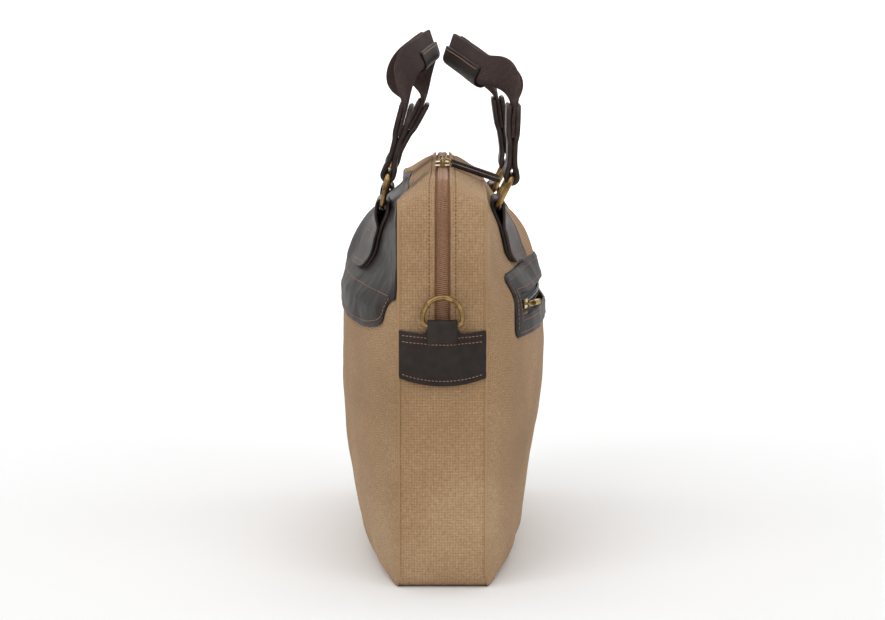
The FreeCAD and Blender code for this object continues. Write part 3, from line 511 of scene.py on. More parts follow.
for side, nm in ((-1, "front"), (1, "back")):
    P = panel(side)
    ob = slab("canvas_" + nm, P, 1.5, CANVAS, "bag", (0, side, 0), arc_uv(P))
    if side > 0:
        # the pocket mouth: faces behind the zip window are taken out
        bm = bmesh.new(); bm.from_mesh(ob.data)
        kill = [f for f in bm.faces if abs(f.calc_center_median().x) < 0.1425 and 0.2035 < f.calc_center_median().z < 0.2205]
        bmesh.ops.delete(bm, geom=kill, context="FACES")
        bm.to_mesh(ob.data); bm.free()
    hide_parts(nm + "_panel")
    # rolled seam where the panel meets the gusset
    edge = lambda x: 33.0 - (tuck(x) if side < 0 else 0.0)
    pts = [(195.0, side * 33.0, 10 + 272 * k / 40) for k in range(0, 41)]
    for k in range(1, 16):
        t = math.pi / 2 * k / 15
        rr = 30 - SHOULDER * smooth(0, 1, k / 15)
        pts.append((165 + rr * math.cos(t), side * 33.0, 282 + rr * math.sin(t)))
    for k in range(1, 31):
        x = 165 - 165 * k / 30
        pts.append((x, side * edge(x), top_line(x)))
    full = pts + [(-x, y, z) for x, y, z in reversed(pts[:-1])]
    tube("seam_top_" + nm, [(x * 0.9985, y, z - 0.6) for x, y, z in full], 1.25, CANVAS, "bag", 8)

# bottom canvas and end gussets
def bottom():
    nu, nv = 60, 16
    P = np.zeros((nu + 1, nv + 1, 3))
    for i in range(nu + 1):
        x = -190 + 380 * i / nu
        w = half_depth(1, x, 0) - 1.0 if abs(x) < 185 else half_depth(1, 185, 0) - 1.0
        for j in range(nv + 1):
            y = w * (2 * j / nv - 1)
            P[i, j] = (x, y, 0.25 + bot_line(x))
    ob = slab("canvas_bottom", P, 1.3, CANVAS, "bag", (0, 0, -1), arc_uv(P))
    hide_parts("bottom_panel")


bottom()


def gusset(sgn, nm):
    nu, nv = 26, 60
    P = np.zeros((nu + 1, nv + 1, 3))
    for i in range(nu + 1):
        y = -32.6 + 65.2 * i / nu
        for j in range(nv + 1):
            z = 176 * j / nv
            e = (1 - (abs(y) / 32.6) ** 3)
            bul = 2.6 * e * smooth(0, 26, z) * (1 - smooth(120, 160, z)) + 0.7 * nz3(y, z, sgn, 0.05, 4) * e * smooth(0, 20, z)
            if z < 10:
                a = math.acos(max(0, min(1, (10 - z) / 10.0)))
                x = 185 + 10 * math.sin(a) if z > 0 else 185.0
            else:
                x = 195.0
            P[i, j] = (sgn * (x + bul - 0.1), y, z + (0.3 if z < 1 else 0))
    ob = slab("canvas_gusset_" + nm, P, 1.4, CANVAS, "bag", (sgn, 0, 0), arc_uv(P))
    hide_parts("end_gusset_" + nm)


gusset(1, "right"); gusset(-1, "left")


# ------------------------------------------------------------ top strips
def run(s, r=30.0, z0=178.0):
    """point and outward normal (x, z, nx, nz, drop) at distance s along the zip line"""
    a = 282.0 - z0; b = a + math.pi / 2 * r; c = b + 330.0; d = c + math.pi / 2 * r
    if s < a:
        return 195.0, z0 + s, 1.0, 0.0, 0.0
    if s < b:
        t = (s - a) / r
        return 165 + r * math.cos(t), 282 + r * math.sin(t), math.cos(t), math.sin(t), SHOULDER * smooth(0, 1, t / (math.pi / 2))
    if s <= c:
        x = 165 - (s - b)
        return x, 312.0, 0.0, 1.0, drop(x)
    if s < d:
        t = (s - c) / r
        return -165 - r * math.sin(t), 282 + r * math.cos(t), -math.sin(t), math.cos(t), SHOULDER * (1 - smooth(0, 1, t / (math.pi / 2)))
    return -195.0, 282 - (s - d), -1.0, 0.0, 0.0


SLEN = 2 * (282 - 178) + math.pi * 30 + 330


def pucker(side, s, y):
    """cross folds gathered by the zip seam, millimetres"""
    t = (y - 6.5) / 26.1
    ph = s * 0.27 + 2.2 * nz3(s, side * 40, 0, 0.03, 11 + side) + 0.6 * t
    amp = (0.75 + 1.1 * smooth(.9, 1, run(s)[3])) * (0.35 + 0.9 * abs(nz3(s, side, 0, 0.02, 6)))
    prof = math.sin(math.pi * min(1, max(0, t)) ** 0.7)
    v = amp * (0.45 * (1 - t) + 1.1 * prof) * math.sin(ph) * smooth(0, .22, t)
    x, z, nx, nz_, dr = run(s)
    corner = math.exp(-((abs(x) - 184) / 14.0) ** 2) * math.exp(-((z - 296) / 22.0) ** 2)
    v += 3.0 * corner * prof * smooth(0, .4, t)
    v += 1.4 * prof * nz3(s, y, side * 20, 0.028, 2.5)
    v -= 0.6 * math.exp(-((y - 10.0) / 1.6) ** 2)
    v += 0.3 * math.exp(-((y - 7.6) / 1.1) ** 2)
    return v * smooth(0, 0.1, 1 - t)


def strip_pt(side, s, y, off=0.0):
    x, z, nx, nz_, dr = run(s)
    d = dr * (y - 6.5) / 26.2 - pucker(side, s, y) - off
    if side < 0:
        y = 6.5 + (y - 6.5) * (1 - tuck(x) * smooth(.9, 1, nz_) / 26.2)
    return np.array((x - nx * d, side * y, z - nz_ * d))


for side, nm in ((-1, "front"), (1, "back")):
    nu, nv = ((520, 26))
    P = np.zeros((nu + 1, nv + 1, 3))
    for i in range(nu + 1):
        for j in range(nv + 1):
            P[i, j] = strip_pt(side, SLEN * i / nu, 6.5 + 26.1 * j / nv)
    ob = slab("canvas_strip_" + nm, P, 1.4, CANVAS, "bag", (0, 0, 1), arc_uv(P))
    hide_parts("top_strip_" + nm)
    th = Threads()
    row = [strip_pt(side, 24 + (SLEN - 48) * k / 400, 10.0, 0.1) for k in range(401)]
    th.row(row, lambda p: (1 if p[0] > 180 else (-1 if p[0] < -180 else 0), 0, 1 if abs(p[0]) < 192 else 0.01), 3.2, 0.36)
    th.make("stitch_strip_" + nm, CTHREAD, "bag")

# ------------------------------------------------------------ main zip
for side, nm in ((-1, "front"), (1, "back")):
    P = np.zeros((161, 7, 3))
    for i in range(161):
        s = 4 + (SLEN - 8) * i / 160
        x, z, nx, nz_, dr = run(s)
        for j in range(7):
            y = 0.35 + (8.4 - 0.35) * j / 6
            P[i, j] = (x - nx * 2.7, side * y, z - nz_ * 2.7)
    ob = slab("tape_" + nm, P, 0.7, TAPE, "bag", (0, 0, 1), arc_uv(P))
    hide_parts("zip_tape_" + nm)

# coil: one flattened helix strand a side, meshing along the middle
for side, nm in ((-1, "front"), (1, "back")):
    pts = []
    pitch = 1.5
    n = int((SLEN - 12) / pitch)
    per = 6
    for k in range(n * per + 1):
        s = 6 + k * pitch / per + (0.5 * pitch if side > 0 else 0)
        if s > SLEN - 5:
            break
        x, z, nx, nz_, dr = run(s)
        w = 2 * math.pi * (k % per) / per
        y = side * (1.75 + 2.35 * math.cos(w)); h = -1.35 + 1.05 * math.sin(w)
        pts.append((x + nx * h, y, z + nz_ * h))
    ob = tube("coil_" + nm, pts, 0.42, COIL, "bag", 5)
    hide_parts("zip_coil_" + nm)

# ------------------------------------------------------------ front yoke
YK = [(194.0, 222.5), (190.5, 221), (187.5, 218), (185, 212), (182.5, 205), (177.5, 201), (168, 198.8), (156, 197.2), (140, 196.5), (110, 198), (85, 200), (45, 206), (20, 212.5), (0, 213.5)]


def poly_at(tab, x):
    ax = abs(x)
    q = sorted(tab)
    return table([p[0] for p in q], [p[1] for p in q], ax)


def yoke_top(x):
    return top_line(x) - (1.4 if abs(x) < 185 else 1.4)


def leather_on(side, off, x, z, wr=1.0):
    return np.array((x, side * (half_depth(side, x, z) + off + wr * wrinkle(side, x, z)), z))


nu, nv = ((200, 56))
P = np.zeros((nu + 1, nv + 1, 3))
for i in range(nu + 1):
    x = 193.9 * math.sin(math.pi / 2 * (2 * i / nu - 1) * 0.96) / math.sin(math.pi / 2 * 0.96)
    z0 = poly_at(YK, x); z1 = yoke_top(x)
    for j in range(nv + 1):
        z = z0 + (z1 - z0) * j / nv
        wv = 0.5 * nz3(x, z, 3, 0.06, 9) + 0.35 * nz3(x, z, 1, 0.13, 4)
        P[i, j] = leather_on(-1, 0.5 + 1.7 + wv * smooth(0, 8, z - z0), x, z)
yoke = slab("yoke_leather", P, 1.6, LEATHER, "bag", (0, -1, 0), arc_uv(P))
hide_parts("front_yoke")
th = Threads()
row = []
for k in range(0, 301):
    x = -188 + 376 * k / 300
    row.append(leather_on(-1, 2.35, x, poly_at(YK, x) + 4.2))
th.row(row, (0, -1, 0), 3.4, 0.34)
row = [leather_on(-1, 2.35, x, 229 - 5 * (abs(x) / 190) ** 2) for x in np.linspace(-186, 186, 220)]
th.row(row, (0, -1, 0), 3.4, 0.34)
row = [leather_on(-1, 2.35, x, yoke_top(x) - 3.6) for x in np.linspace(-160, 160, 200)]
th.row(row, (0, -1, .3), 3.4, 0.34)
th.make("stitch_yoke", THREAD, "bag")

# ------------------------------------------------------------ pocket frame
FT = [(151, 231), (147.5, 234.2), (140, 235.2), (128, 236), (100, 237), (60, 238.5), (30, 239), (0, 239)]


def frame_top(x):
    return poly_at(FT, x)


def frame_piece():
    """leather frame as one sheet with the window left open"""
    xs = list(np.linspace(-1, -0.9, 5)) + list(np.linspace(-0.885, 0.885, 100)) + list(np.linspace(0.9, 1, 5))
    side_x = lambda z: table([188, 190, 193.5, 205, 218, 231, 240], [156.5, 159.2, 160.6, 158.2, 155.2, 152, 150], z)
    rows_lo = list(np.linspace(188, 203.4, 6)); rows_hi_n = 9
    v, f, uvs = [], [], []
    nrow = len(rows_lo) + rows_hi_n
    offs = (2.1, 0.4)
    for layer, off in enumerate(offs):
        for x in xs:
            u = x
            zt0 = frame_top(u * 152)
            zz = list(rows_lo) + list(np.linspace(220.6, zt0, rows_hi_n))
            for q, z in enumerate(zz):
                # the corners of the outline are rounded by the side curve
                x = u * side_x(z) if abs(u) >= 0.9 else u / 0.9 * 142.5
                edge = min(abs(abs(x) - side_x(z)), z - 188, zt0 - z)
                e = 0.0
                if layer == 0:
                    e -= 0.7 * (1 - smooth(0, 2.0, edge))
                if 0.89 > abs(u) and layer == 0 and q in (len(rows_lo) - 1, len(rows_lo)):
                    e -= 0.4
                v.append(leather_on(1, off + e + 0.3 * nz3(x, z, 5, .08, 2), x, z)); uvs.append((x * .001, z * .001))
    n = len(xs); K = n * nrow
    ix = lambda i, j: i * nrow + j
    nl = len(rows_lo)

    def isfree(i, j):
        return j == nl - 1 and abs(xs[i]) <= 0.9001 and abs(xs[i + 1]) <= 0.9001
    quads = set()
    for i in range(n - 1):
        for j in range(nrow - 1):
            if not isfree(i, j):
                quads.add((i, j))
    for i, j in quads:
        f.append((ix(i, j), ix(i + 1, j), ix(i + 1, j + 1), ix(i, j + 1)))
        f.append((K + ix(i, j), K + ix(i, j + 1), K + ix(i + 1, j + 1), K + ix(i + 1, j)))
        for (di, dj, a, b) in ((-1, 0, (i, j), (i, j + 1)), (1, 0, (i + 1, j), (i + 1, j + 1)), (0, -1, (i, j), (i + 1, j)), (0, 1, (i, j + 1), (i + 1, j + 1))):
            if (i + di, j + dj) not in quads:
                f.append((ix(*a), ix(*b), K + ix(*b), K + ix(*a)))
    return new_obj("pocket_leather", v, f, LEATHER_POCKET_SHADED, "bag", uvs, 50)


pf = frame_piece()
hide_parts("pocket_frame")
th = Threads()
N1 = lambda p: (0.25 * p[0] / 150, 1, 0)
o = 2.15
row = [leather_on(1, o, x, 191.5) for x in np.linspace(-154, 154, 170)]
th.row(row, N1, 3.4, 0.34)
for sx in (-1, 1):
    th.row([leather_on(1, o, sx * (157.2 - (z - 194) * .225), z) for z in np.linspace(194, 230, 20)], N1, 3.4, 0.34)
    th.row([leather_on(1, o, sx * 146.4, z) for z in np.linspace(200.2, 223.8, 16)], N1, 3.4, 0.34)
th.row([leather_on(1, o, x, frame_top(x) - 3.4) for x in np.linspace(-147, 147, 180)], N1, 3.4, 0.34)
for zz in (200.0, 224.2):
    th.row([leather_on(1, o, x, zz) for x in np.linspace(-145.5, 145.5, 160)], N1, 3.4, 0.34)
th.make("stitch_pocket", THREAD, "bag")

# ------------------------------------------------------------ folded straps
def two_skin(name, A, B, mat, body, round_edge=0.6, angle=50):
    """closed sheet between two point grids with a rounded rim"""
    nu, nv = A.shape[:2]
    v = list(A.reshape(-1, 3)) + list(B.reshape(-1, 3)); K = nu * nv
    ix = lambda i, j: i * nv + j
    f = []
    for i in range(nu - 1):
        for j in range(nv - 1):
            f.append((ix(i, j), ix(i + 1, j), ix(i + 1, j + 1), ix(i, j + 1)))
            f.append((K + ix(i, j), K + ix(i, j + 1), K + ix(i + 1, j + 1), K + ix(i + 1, j)))
    loop = [(i, 0) for i in range(nu)] + [(nu - 1, j) for j in range(1, nv)] + [(i, nv - 1) for i in range(nu - 2, -1, -1)] + [(0, j) for j in range(nv - 2, 0, -1)]
    R0 = len(v)
    for (i, j) in loop:
        ii = 1 if i == 0 else (nu - 2 if i == nu - 1 else i); jj = 1 if j == 0 else (nv - 2 if j == nv - 1 else j)
        t = A[i, j] - A[ii, jj]; t = t / (np.linalg.norm(t) + 1e-9)
        v.append((A[i, j] + B[i, j]) / 2 + t * np.linalg.norm(A[i, j] - B[i, j]) * round_edge * 0.6)
    n = len(loop)
    for k in range(n):
        a, b = loop[k], loop[(k + 1) % n]
        f.append((ix(*a), ix(*b), R0 + (k + 1) % n, R0 + k))
        f.append((R0 + k, R0 + (k + 1) % n, K + ix(*b), K + ix(*a)))
    uv = arc_uv(A)
    flat = [tuple(q) for q in uv.reshape(-1, 2)]
    return new_obj(name, v, f, mat, body, flat + flat + [flat[ix(*q)] for q in loop], angle)


def spline_pts(P, n):
    """n+1 points along a smooth curve through the control points"""
    P = [np.array(q, dtype=float) for q in P]
    par = [0.0]
    for i in range(1, len(P)):
        par.append(par[-1] + float(np.linalg.norm(P[i] - P[i - 1])))
    out = []
    for k in range(n + 1):
        u = par[-1] * k / n
        i = max(0, min(len(P) - 2, int(np.searchsorted(par, u)) - 1))
        a, b = max(i - 1, 0), min(i + 2, len(P) - 1)
        w = par[i + 1] - par[i]; q = (u - par[i]) / w
        m1 = (P[i + 1] - P[a]) / max(par[i + 1] - par[a], 1e-6); m2 = (P[b] - P[i]) / max(par[b] - par[i], 1e-6)
        out.append((2*q**3 - 3*q*q + 1)*P[i] + (q**3 - 2*q*q + q)*w*m1 + (-2*q**3 + 3*q*q)*P[i + 1] + (q**3 - q*q)*w*m2)
    return np.array(out)


def folded(name, col, half, t, mat, body, n=84, nw=16, corner=6.0, puff=0.25, seed=0.0):
    """strap folded round a bar: col(v) gives the centre line at width v"""
    C = np.zeros((n + 1, nw + 1, 3))
    for j in range(nw + 1):
        q = 2 * j / nw - 1
        v = math.copysign(1 - (1 - abs(q)) ** 1.25, q)
        C[:, j] = spline_pts(col(v * half), n)
    L_ = np.zeros(n + 1)
    mid = C[:, nw // 2]
    for i in range(1, n + 1):
        L_[i] = L_[i - 1] + np.linalg.norm(mid[i] - mid[i - 1])
    A = C.copy(); B = C.copy()
    T = np.gradient(C, axis=0); W = np.gradient(C, axis=1)
    N = np.cross(T, W); N /= np.linalg.norm(N, axis=2, keepdims=True) + 1e-9
    cen = C.mean(axis=1)
    for i in range(n + 1):
        d = min(L_[i], L_[-1] - L_[i])
        shrink = 0.0
        if d < corner:
            shrink = corner - math.sqrt(max(0.0, corner ** 2 - (corner - d) ** 2))
        for j in range(nw + 1):
            q = 2 * j / nw - 1
            v = math.copysign(1 - (1 - abs(q)) ** 1.25, q)
            p = cen[i] + (C[i, j] - cen[i]) * (1 - shrink / half)
            edge = (1 - abs(v)) * half
            h = t / 2 * (0.72 + 0.28 * smooth(0, 2.2, min(edge, d)))
            h += puff * (math.exp(-((edge - 2.1) / 1.1) ** 2) - 0.9 * math.exp(-((edge - 3.9) / 0.7) ** 2)) * smooth(0, 2, d)
            h += 0.12 * noise.noise(Vector((p[0] * .09 + seed, p[1] * .09, p[2] * .09)))
            A[i, j] = p + N[i, j] * h; B[i, j] = p - N[i, j] * t / 2 * 0.98
    ob = two_skin(name, A, B, mat, body, 0.45, 60)
    return ob, A, N, L_


def edge_stitch(th, A, N, L_, half, inset, a, b, r=0.34, pitch=3.4):
    """stitch rows parallel to the two long edges between lengths a and b"""
    nw = A.shape[1] - 1
    vs = [math.copysign(1 - (1 - abs(2 * j / nw - 1)) ** 1.25, 2 * j / nw - 1) * half for j in range(nw + 1)]
    for sg in (-1, 1):
        tv = sg * (half - inset)
        j = max(0, min(nw - 1, int(np.searchsorted(vs, tv)) - 1)); f = (tv - vs[j]) / (vs[j + 1] - vs[j])
        rows = [i for i in range(len(L_)) if a <= L_[i] <= b]
        # split the row so each piece is close to flat
        for k in range(0, len(rows) - 1, 6):
            seg = rows[k:k + 7]
            if len(seg) < 2:
                continue
            pts = [A[i, j] * (1 - f) + A[i, j + 1] * f for i in seg]
            th.row(pts, N[seg[len(seg) // 2], j], pitch, r)


# ------------------------------------------------------------ end bands
def band_x(y, z):
    b = 198.0 - 1.2 * (abs(y) / 32.6) ** 6
    return b + 5.0 * (1 - smooth(9.8, 13.6, abs(y))) * smooth(183, 192, z)


for sgn, nm in ((1, "right"), (-1, "left")):
    nu, nv = 60, 30
    P = np.zeros((nu + 1, nv + 1, 3))
    for i in range(nu + 1):
        y = -32.6 + 65.2 * i / nu
        zt = 195.4 + 3.4 * (abs(y) / 32.6) ** 2 + 5.4 * (1 - smooth(10.0, 15.0, abs(y)))
        zb = 157 + 6 * (y / 32.6) ** 2
        for j in range(nv + 1):
            z = zb + (zt - zb) * j / nv
            P[i, j] = (sgn * (band_x(y, z) + 0.3 * nz3(y, z, sgn, .09, 3) + 0.5 * math.exp(-((z - zb - 1.6) / 1.2) ** 2)), y, z)
    ob = slab("band_" + nm, P, 1.7, LEATHER, "bag", (sgn, 0, 0), arc_uv(P))
    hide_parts("end_band_" + nm)
    th = Threads()
    for dz, lo in ((2.9, False), (7.6, False), (3.6, True)):
        row = []
        for y in np.linspace(-31, 31, 90):
            z = (157 + 6 * (y / 32.6) ** 2 + dz) if lo else (196.4 + 2.4 * (abs(y) / 32.6) ** 2 - dz)
            row.append(np.array((sgn * (band_x(y, z) + 0.15), y, z)))
        for k in range(0, 88, 8):
            th.row(row[k:k + 9], (sgn, 0, 0), 3.4, 0.34)
    th.make("stitch_band_" + nm, THREAD, "bag")

    def dcol(v, sgn=sgn):
        R = 3.3
        pts = [(200.9, 190.5), (200.9, 194), (200.8, 198), (202.4 - R * 0.97, 201.6)] if False else [(202.6, 191.0), (203.2, 196), (204.8, 200.2)]
        pts += [(202.4 + R * math.cos(math.radians(g)), 204 + R * math.sin(math.radians(g))) for g in range(-20, 201, 20)]
        pts += [(199.9, 199.5), (199.6, 195), (199.6, 191.0)]
        return [(sgn * x, v, z) for x, z in pts]
    ob, A, N_, L_ = folded("d_loop_" + nm, dcol, 11.0, 1.5, LEATHER, "bag", 60, 10, 0.5, 0.1)
    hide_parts("d_tab_" + nm)

# ------------------------------------------------------------ handles
SX, SWD = 80.0, 50.0
FRONT = dict(side=-1, y=-47.5, z=286.0, lean=-11.0, sleeve=(15.1, 28.2))
BACK = dict(side=1, y=43.5, z=286.0, lean=27.0, sleeve=(-1.5, 7.6))


def ring_top(h):
    a = math.radians(h["lean"])
    return h["y"] + h["side"] * 24.5 * math.sin(a), h["z"] + 24.5 * math.cos(a)


def leg(h, k, dist):
    y, z = ring_top(h); a = math.radians(h["sleeve"][k])
    return (SX if k == 0 else -SX, y - h["side"] * dist * math.sin(a), z + dist * math.cos(a))


def stations(h):
    sd = h["side"]
    if sd > 0:
        mid = [((80, 55.6, 368.0), (-.15, .97, .1), 25), ((77, 50.5, 375.0), (-.1, .85, .5), 100),
               ((68, 42.5, 379.0), (0, .65, .76), 155), ((56, 34.5, 379.6), (0, .5, .87), 176),
               ((45, 29.0, 380.0), (0, .44, .9), 180), ((0, 17.0, 388.0), (0, .38, .93), 180),
               ((-45, 5.6, 395.5), (0, .3, .95), 180), ((-58, 5.8, 395.5), (0, .35, .93), 176),
               ((-70, 12.0, 391.5), (0, .55, .83), 150), ((-78, 26.0, 382.0), (.1, .75, .65), 90),
               ((-80, 40.5, 371.5), (.1, .93, .35), 25)]
    else:
        mid = [((80, -27.0, 371.0), (-.15, -.95, .2), 25), ((77, -25.0, 379.0), (-.1, -.93, .35), 95),
               ((68, -22.0, 386.5), (0, -.75, .65), 150), ((56, -19.0, 390.5), (0, -.5, .87), 176),
               ((45, -17.0, 392.0), (0, -.41, .91), 180), ((0, -12.0, 396.0), (0, -.36, .93), 180),
               ((-45, -7.4, 399.0), (0, -.3, .95), 180), ((-58, -7.4, 398.0), (0, -.35, .93), 176),
               ((-70, -8.6, 391.5), (0, -.6, .8), 150), ((-78, -11.0, 380.0), (.1, -.85, .5), 90),
               ((-80, -13.5, 368.5), (.1, -.9, .45), 25)]
    a0, a1 = math.radians(h["sleeve"][0]), math.radians(h["sleeve"][1])
    o0 = (0, sd * math.cos(a0), math.sin(a0)); o1 = (0, sd * math.cos(a1), math.sin(a1))
    return ([(leg(h, 0, 32), o0, 0), (leg(h, 0, 45), o0, 0), (leg(h, 0, 57.5), o0, 0)] + mid
            + [(leg(h, 1, 57.5), o1, 0), (leg(h, 1, 45), o1, 0), (leg(h, 1, 32), o1, 0)])


def catmull(pts, par, u):
    n = len(pts)
    i = max(0, min(n - 2, int(np.searchsorted(par, u)) - 1))
    p0, p1, p2, p3 = (np.array(pts[max(i - 1, 0)]), np.array(pts[i]), np.array(pts[i + 1]), np.array(pts[min(i + 2, n - 1)]))
    t0, t1, t2, t3 = par[max(i - 1, 0)], par[i], par[i + 1], par[min(i + 2, n - 1)]
    w = t2 - t1; s = (u - t1) / w
    m1 = (p2 - p0) / max(t2 - t0, 1e-6); m2 = (p3 - p1) / max(t3 - t1, 1e-6)
    return ((2*s**3 - 3*s*s + 1)*p1 + (s**3 - 2*s*s + s)*w*m1 + (-2*s**3 + 3*s*s)*p2 + (s**3 - s*s)*w*m2)


def smooth_rows(A, times=2, keep=4):
    A = A.copy()
    for _ in range(times):
        B = A.copy()
        B[keep:-keep] = (A[keep - 1:-keep - 1] + 2 * A[keep:-keep] + A[keep + 1:(-keep + 1) or None]) / 4
        A = B
    return A


def ribbon(h, offs, half, xlim=None, n=150, vs=None):
    st = stations(h)
    pts = [q[0] for q in st]
    par = [0.0]
    for i in range(1, len(st)):
        par.append(par[-1] + float(np.linalg.norm(np.array(pts[i]) - np.array(pts[i - 1]))))
    t0, t1 = par[0], par[-1]
    if xlim is not None:
        us = np.linspace(t0, t1, 800)
        us = [u for u in us if abs(catmull(pts, par, u)[0]) <= xlim and catmull(pts, par, u)[2] > 375]
        t0, t1 = us[0], us[-1]
    us = np.linspace(t0, t1, n + 1)
    C = np.array([catmull(pts, par, u) for u in us])
    O = np.array([catmull([q[1] for q in st], par, u) for u in us])
    PH = np.array([catmull([(q[2], 0, 0) for q in st], par, u)[0] for u in us])
    if xlim is None:
        C, O = smooth_rows(C, 10, 8), smooth_rows(O, 10, 8)
        PH = smooth_rows(PH[:, None], 10, 8)[:, 0]
    PH = np.radians(np.clip(PH, 0, 180))
    if vs is None:
        vs = sorted(set([-half + 2 * half * k / 24 for k in range(25)] + [-4.7, -3.1, -1.5, 1.5, 3.1, 4.7]))
    out = [np.zeros((n + 1, len(vs), 3)) for _ in offs]
    nr = np.zeros((n + 1, len(vs), 3))
    T = np.gradient(C, axis=0)
    for i in range(n + 1):
        t = T[i] / np.linalg.norm(T[i]); o = O[i] - t * np.dot(O[i], t); o /= np.linalg.norm(o)
        l = np.cross(t, o)
        for j, v in enumerate(vs):
            hp = PH[i] / 2
            if hp < 1e-3:
                a, b, al = v, 0.0, 0.0
            else:
                r = 4.7 / hp
                if abs(v) <= 4.7:
                    al = v / r; a, b = r * math.sin(al), r * (1 - math.cos(al))
                else:
                    s_ = 1 if v > 0 else -1; e = abs(v) - 4.7; al = s_ * hp
                    a = s_ * (r * math.sin(hp) + e * math.cos(hp)); b = r * (1 - math.cos(hp)) + e * math.sin(hp)
            nn = o * math.cos(al) - l * math.sin(al)
            nr[i, j] = nn
            p = C[i] + l * a + o * b
            for k, of in enumerate(offs):
                out[k][i, j] = p - nn * of
    return out, nr, vs


for nm, h in (("front", FRONT), ("back", BACK)):
    (A, B), nr, vs = ribbon(h, [1.3, -1.3], 24.6, n=170)
    its = int(26 * ((len(A) - 1) / 170.0) ** 2)
    A, B = smooth_rows(A, its, 10), smooth_rows(B, its, 10)
    ob = two_skin("webbing_strap_" + nm, A, B, WEB, nm + "_handle")
    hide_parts("webbing_" + nm)
    (A, B), nr, vs = ribbon(h, [3.2, 1.5], 13.5, xlim=46.5, n=60)
    ob = two_skin("grip_leather_" + nm, A, B, LEATHER, nm + "_handle")
    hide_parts("grip_" + nm)
    th = Threads()
    for j, sgn in ((2, -1), (len(vs) - 3, 1)):
        row = [A[i, j] - nr[i, j] * 0.05 for i in range(2, len(A) - 2)]
        nv_ = -nr[len(A) // 2, j]
        th.row(row, nv_, 3.2, 0.40)
    th.make("stitch_grip_" + nm, THREAD, nm + "_handle")
    # sleeves folded round the ring's upper bar and sewn over the webbing
    th = Threads()
    for k, sn in ((0, "right"), (1, "left")):
        a = math.radians(h["sleeve"][k]); sd = h["side"]
        d = np.array((0, -sd * math.sin(a), math.cos(a))); nn = np.array((0, math.cos(a), sd * math.sin(a)))
        base = np.array((SX if k == 0 else -SX, *ring_top(h)))
        g = 3.55; R = 4.35

        def scol(v, base=base, d=d, nn=nn, g=g, R=R):
            q = [(g, 57), (g + .15, 48), (g, 38), (g - .25, 33.5), (2.2, 28), (2.0, 22), (2.0, 15), (2.4, 9.5), (3.7, 4.5)]
            q += [(R * math.cos(math.radians(b)), R * math.sin(math.radians(b))) for b in range(0, -181, -20)]
            q += [(-3.7, 4.5), (-2.4, 9.5), (-2.0, 15), (-2.0, 22), (-2.2, 28), (-g + .25, 33.5), (-g, 38), (-g - .15, 48), (-g, 57)]
            return [base + np.array((v, 0, 0)) + nn * u + d * w for u, w in q]
        ob, A, N_, L_ = folded("sleeve_fold_%s_%s" % (nm, sn), scol, 25.0, 3.9, LEATHER2, nm + "_handle", 90, 16, 3.0, 0.28, k + sd)
        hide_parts("sleeve_%s_%s" % (nm, sn))
        edge_stitch(th, A, N_, L_, 25.0, 3.9, 3, 50); edge_stitch(th, A, N_, L_, 25.0, 3.9, L_[-1] - 50, L_[-1] - 3)
        for face in (-1, 1):
            th.row([base + d * 53.6 + nn * face * 5.55 + np.array((q, 0, 0)) for q in np.linspace(-20, 20, 12)], nn * face, 3.4, 0.34)
    th.make("stitch_sleeve_" + nm, THREAD, nm + "_handle")

# tabs sewn to the bag, folded round the lower bar of each ring
th = Threads()
for h, hn in ((FRONT, "front"), (BACK, "back")):
    sd = h["side"]; off = 2.3 if sd < 0 else 0.3; zlo = 237.0 if sd < 0 else 241.0
    for xc, sn in ((SX, "right"), (-SX, "left")):
        def tcol(v, sd=sd, off=off, zlo=zlo, h=h, xc=xc):
            x = xc + v; yr = sd * h["y"]; zr = h["z"]; R = 4.5
            hd = lambda z: half_depth(sd, x, z) + wrinkle(sd, x, z) * smooth(0, 1, 0.5)
            q = [(hd(z) + off + 3.9, z) for z in (zlo, zlo + 4, zlo + 9, zlo + 15, zlo + 22, 268)]
            q.append((max(yr + R + 0.6, hd(277) + off + 3.4), 278))
            q += [(yr + R * math.cos(math.radians(g)), zr + R * math.sin(math.radians(g))) for g in range(0, 181, 20)]
            q.append((max(yr - R + 0.3, hd(279) + off + 1.0), 279.5))
            q += [(hd(z) + off + 1.35, z) for z in (270, zlo + 22, zlo + 15, zlo + 9, zlo + 4, zlo)]
            return [(x, sd * y, z) for y, z in q]
        ob, A, N_, L_ = folded("tab_fold_%s_%s" % (hn, sn), tcol, 25.0, 2.4, LEATHER2, "bag", 90, 16, 7.0, 0.28, sd)
        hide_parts("handle_tab_%s_%s" % (hn, sn))
        # the outer skin is the first half of the path
        out = A if np.dot(N_[5, 8], (0, sd, 0)) > 0 else None
        if out is None:
            A = A - 2 * 0.0 * N_
        edge_stitch(th, A, N_, L_, 25.0, 3.9, 6, 40)
        for z in (zlo + 4.2, 264.0):
            th.row([(xc + q, sd * (half_depth(sd, xc + q, z) + wrinkle(sd, xc + q, z) * .5 + off + 5.2), z) for q in np.linspace(-19, 19, 16)], (0, sd, .5), 3.4, 0.34)
th.make("stitch_tabs", THREAD, "bag")

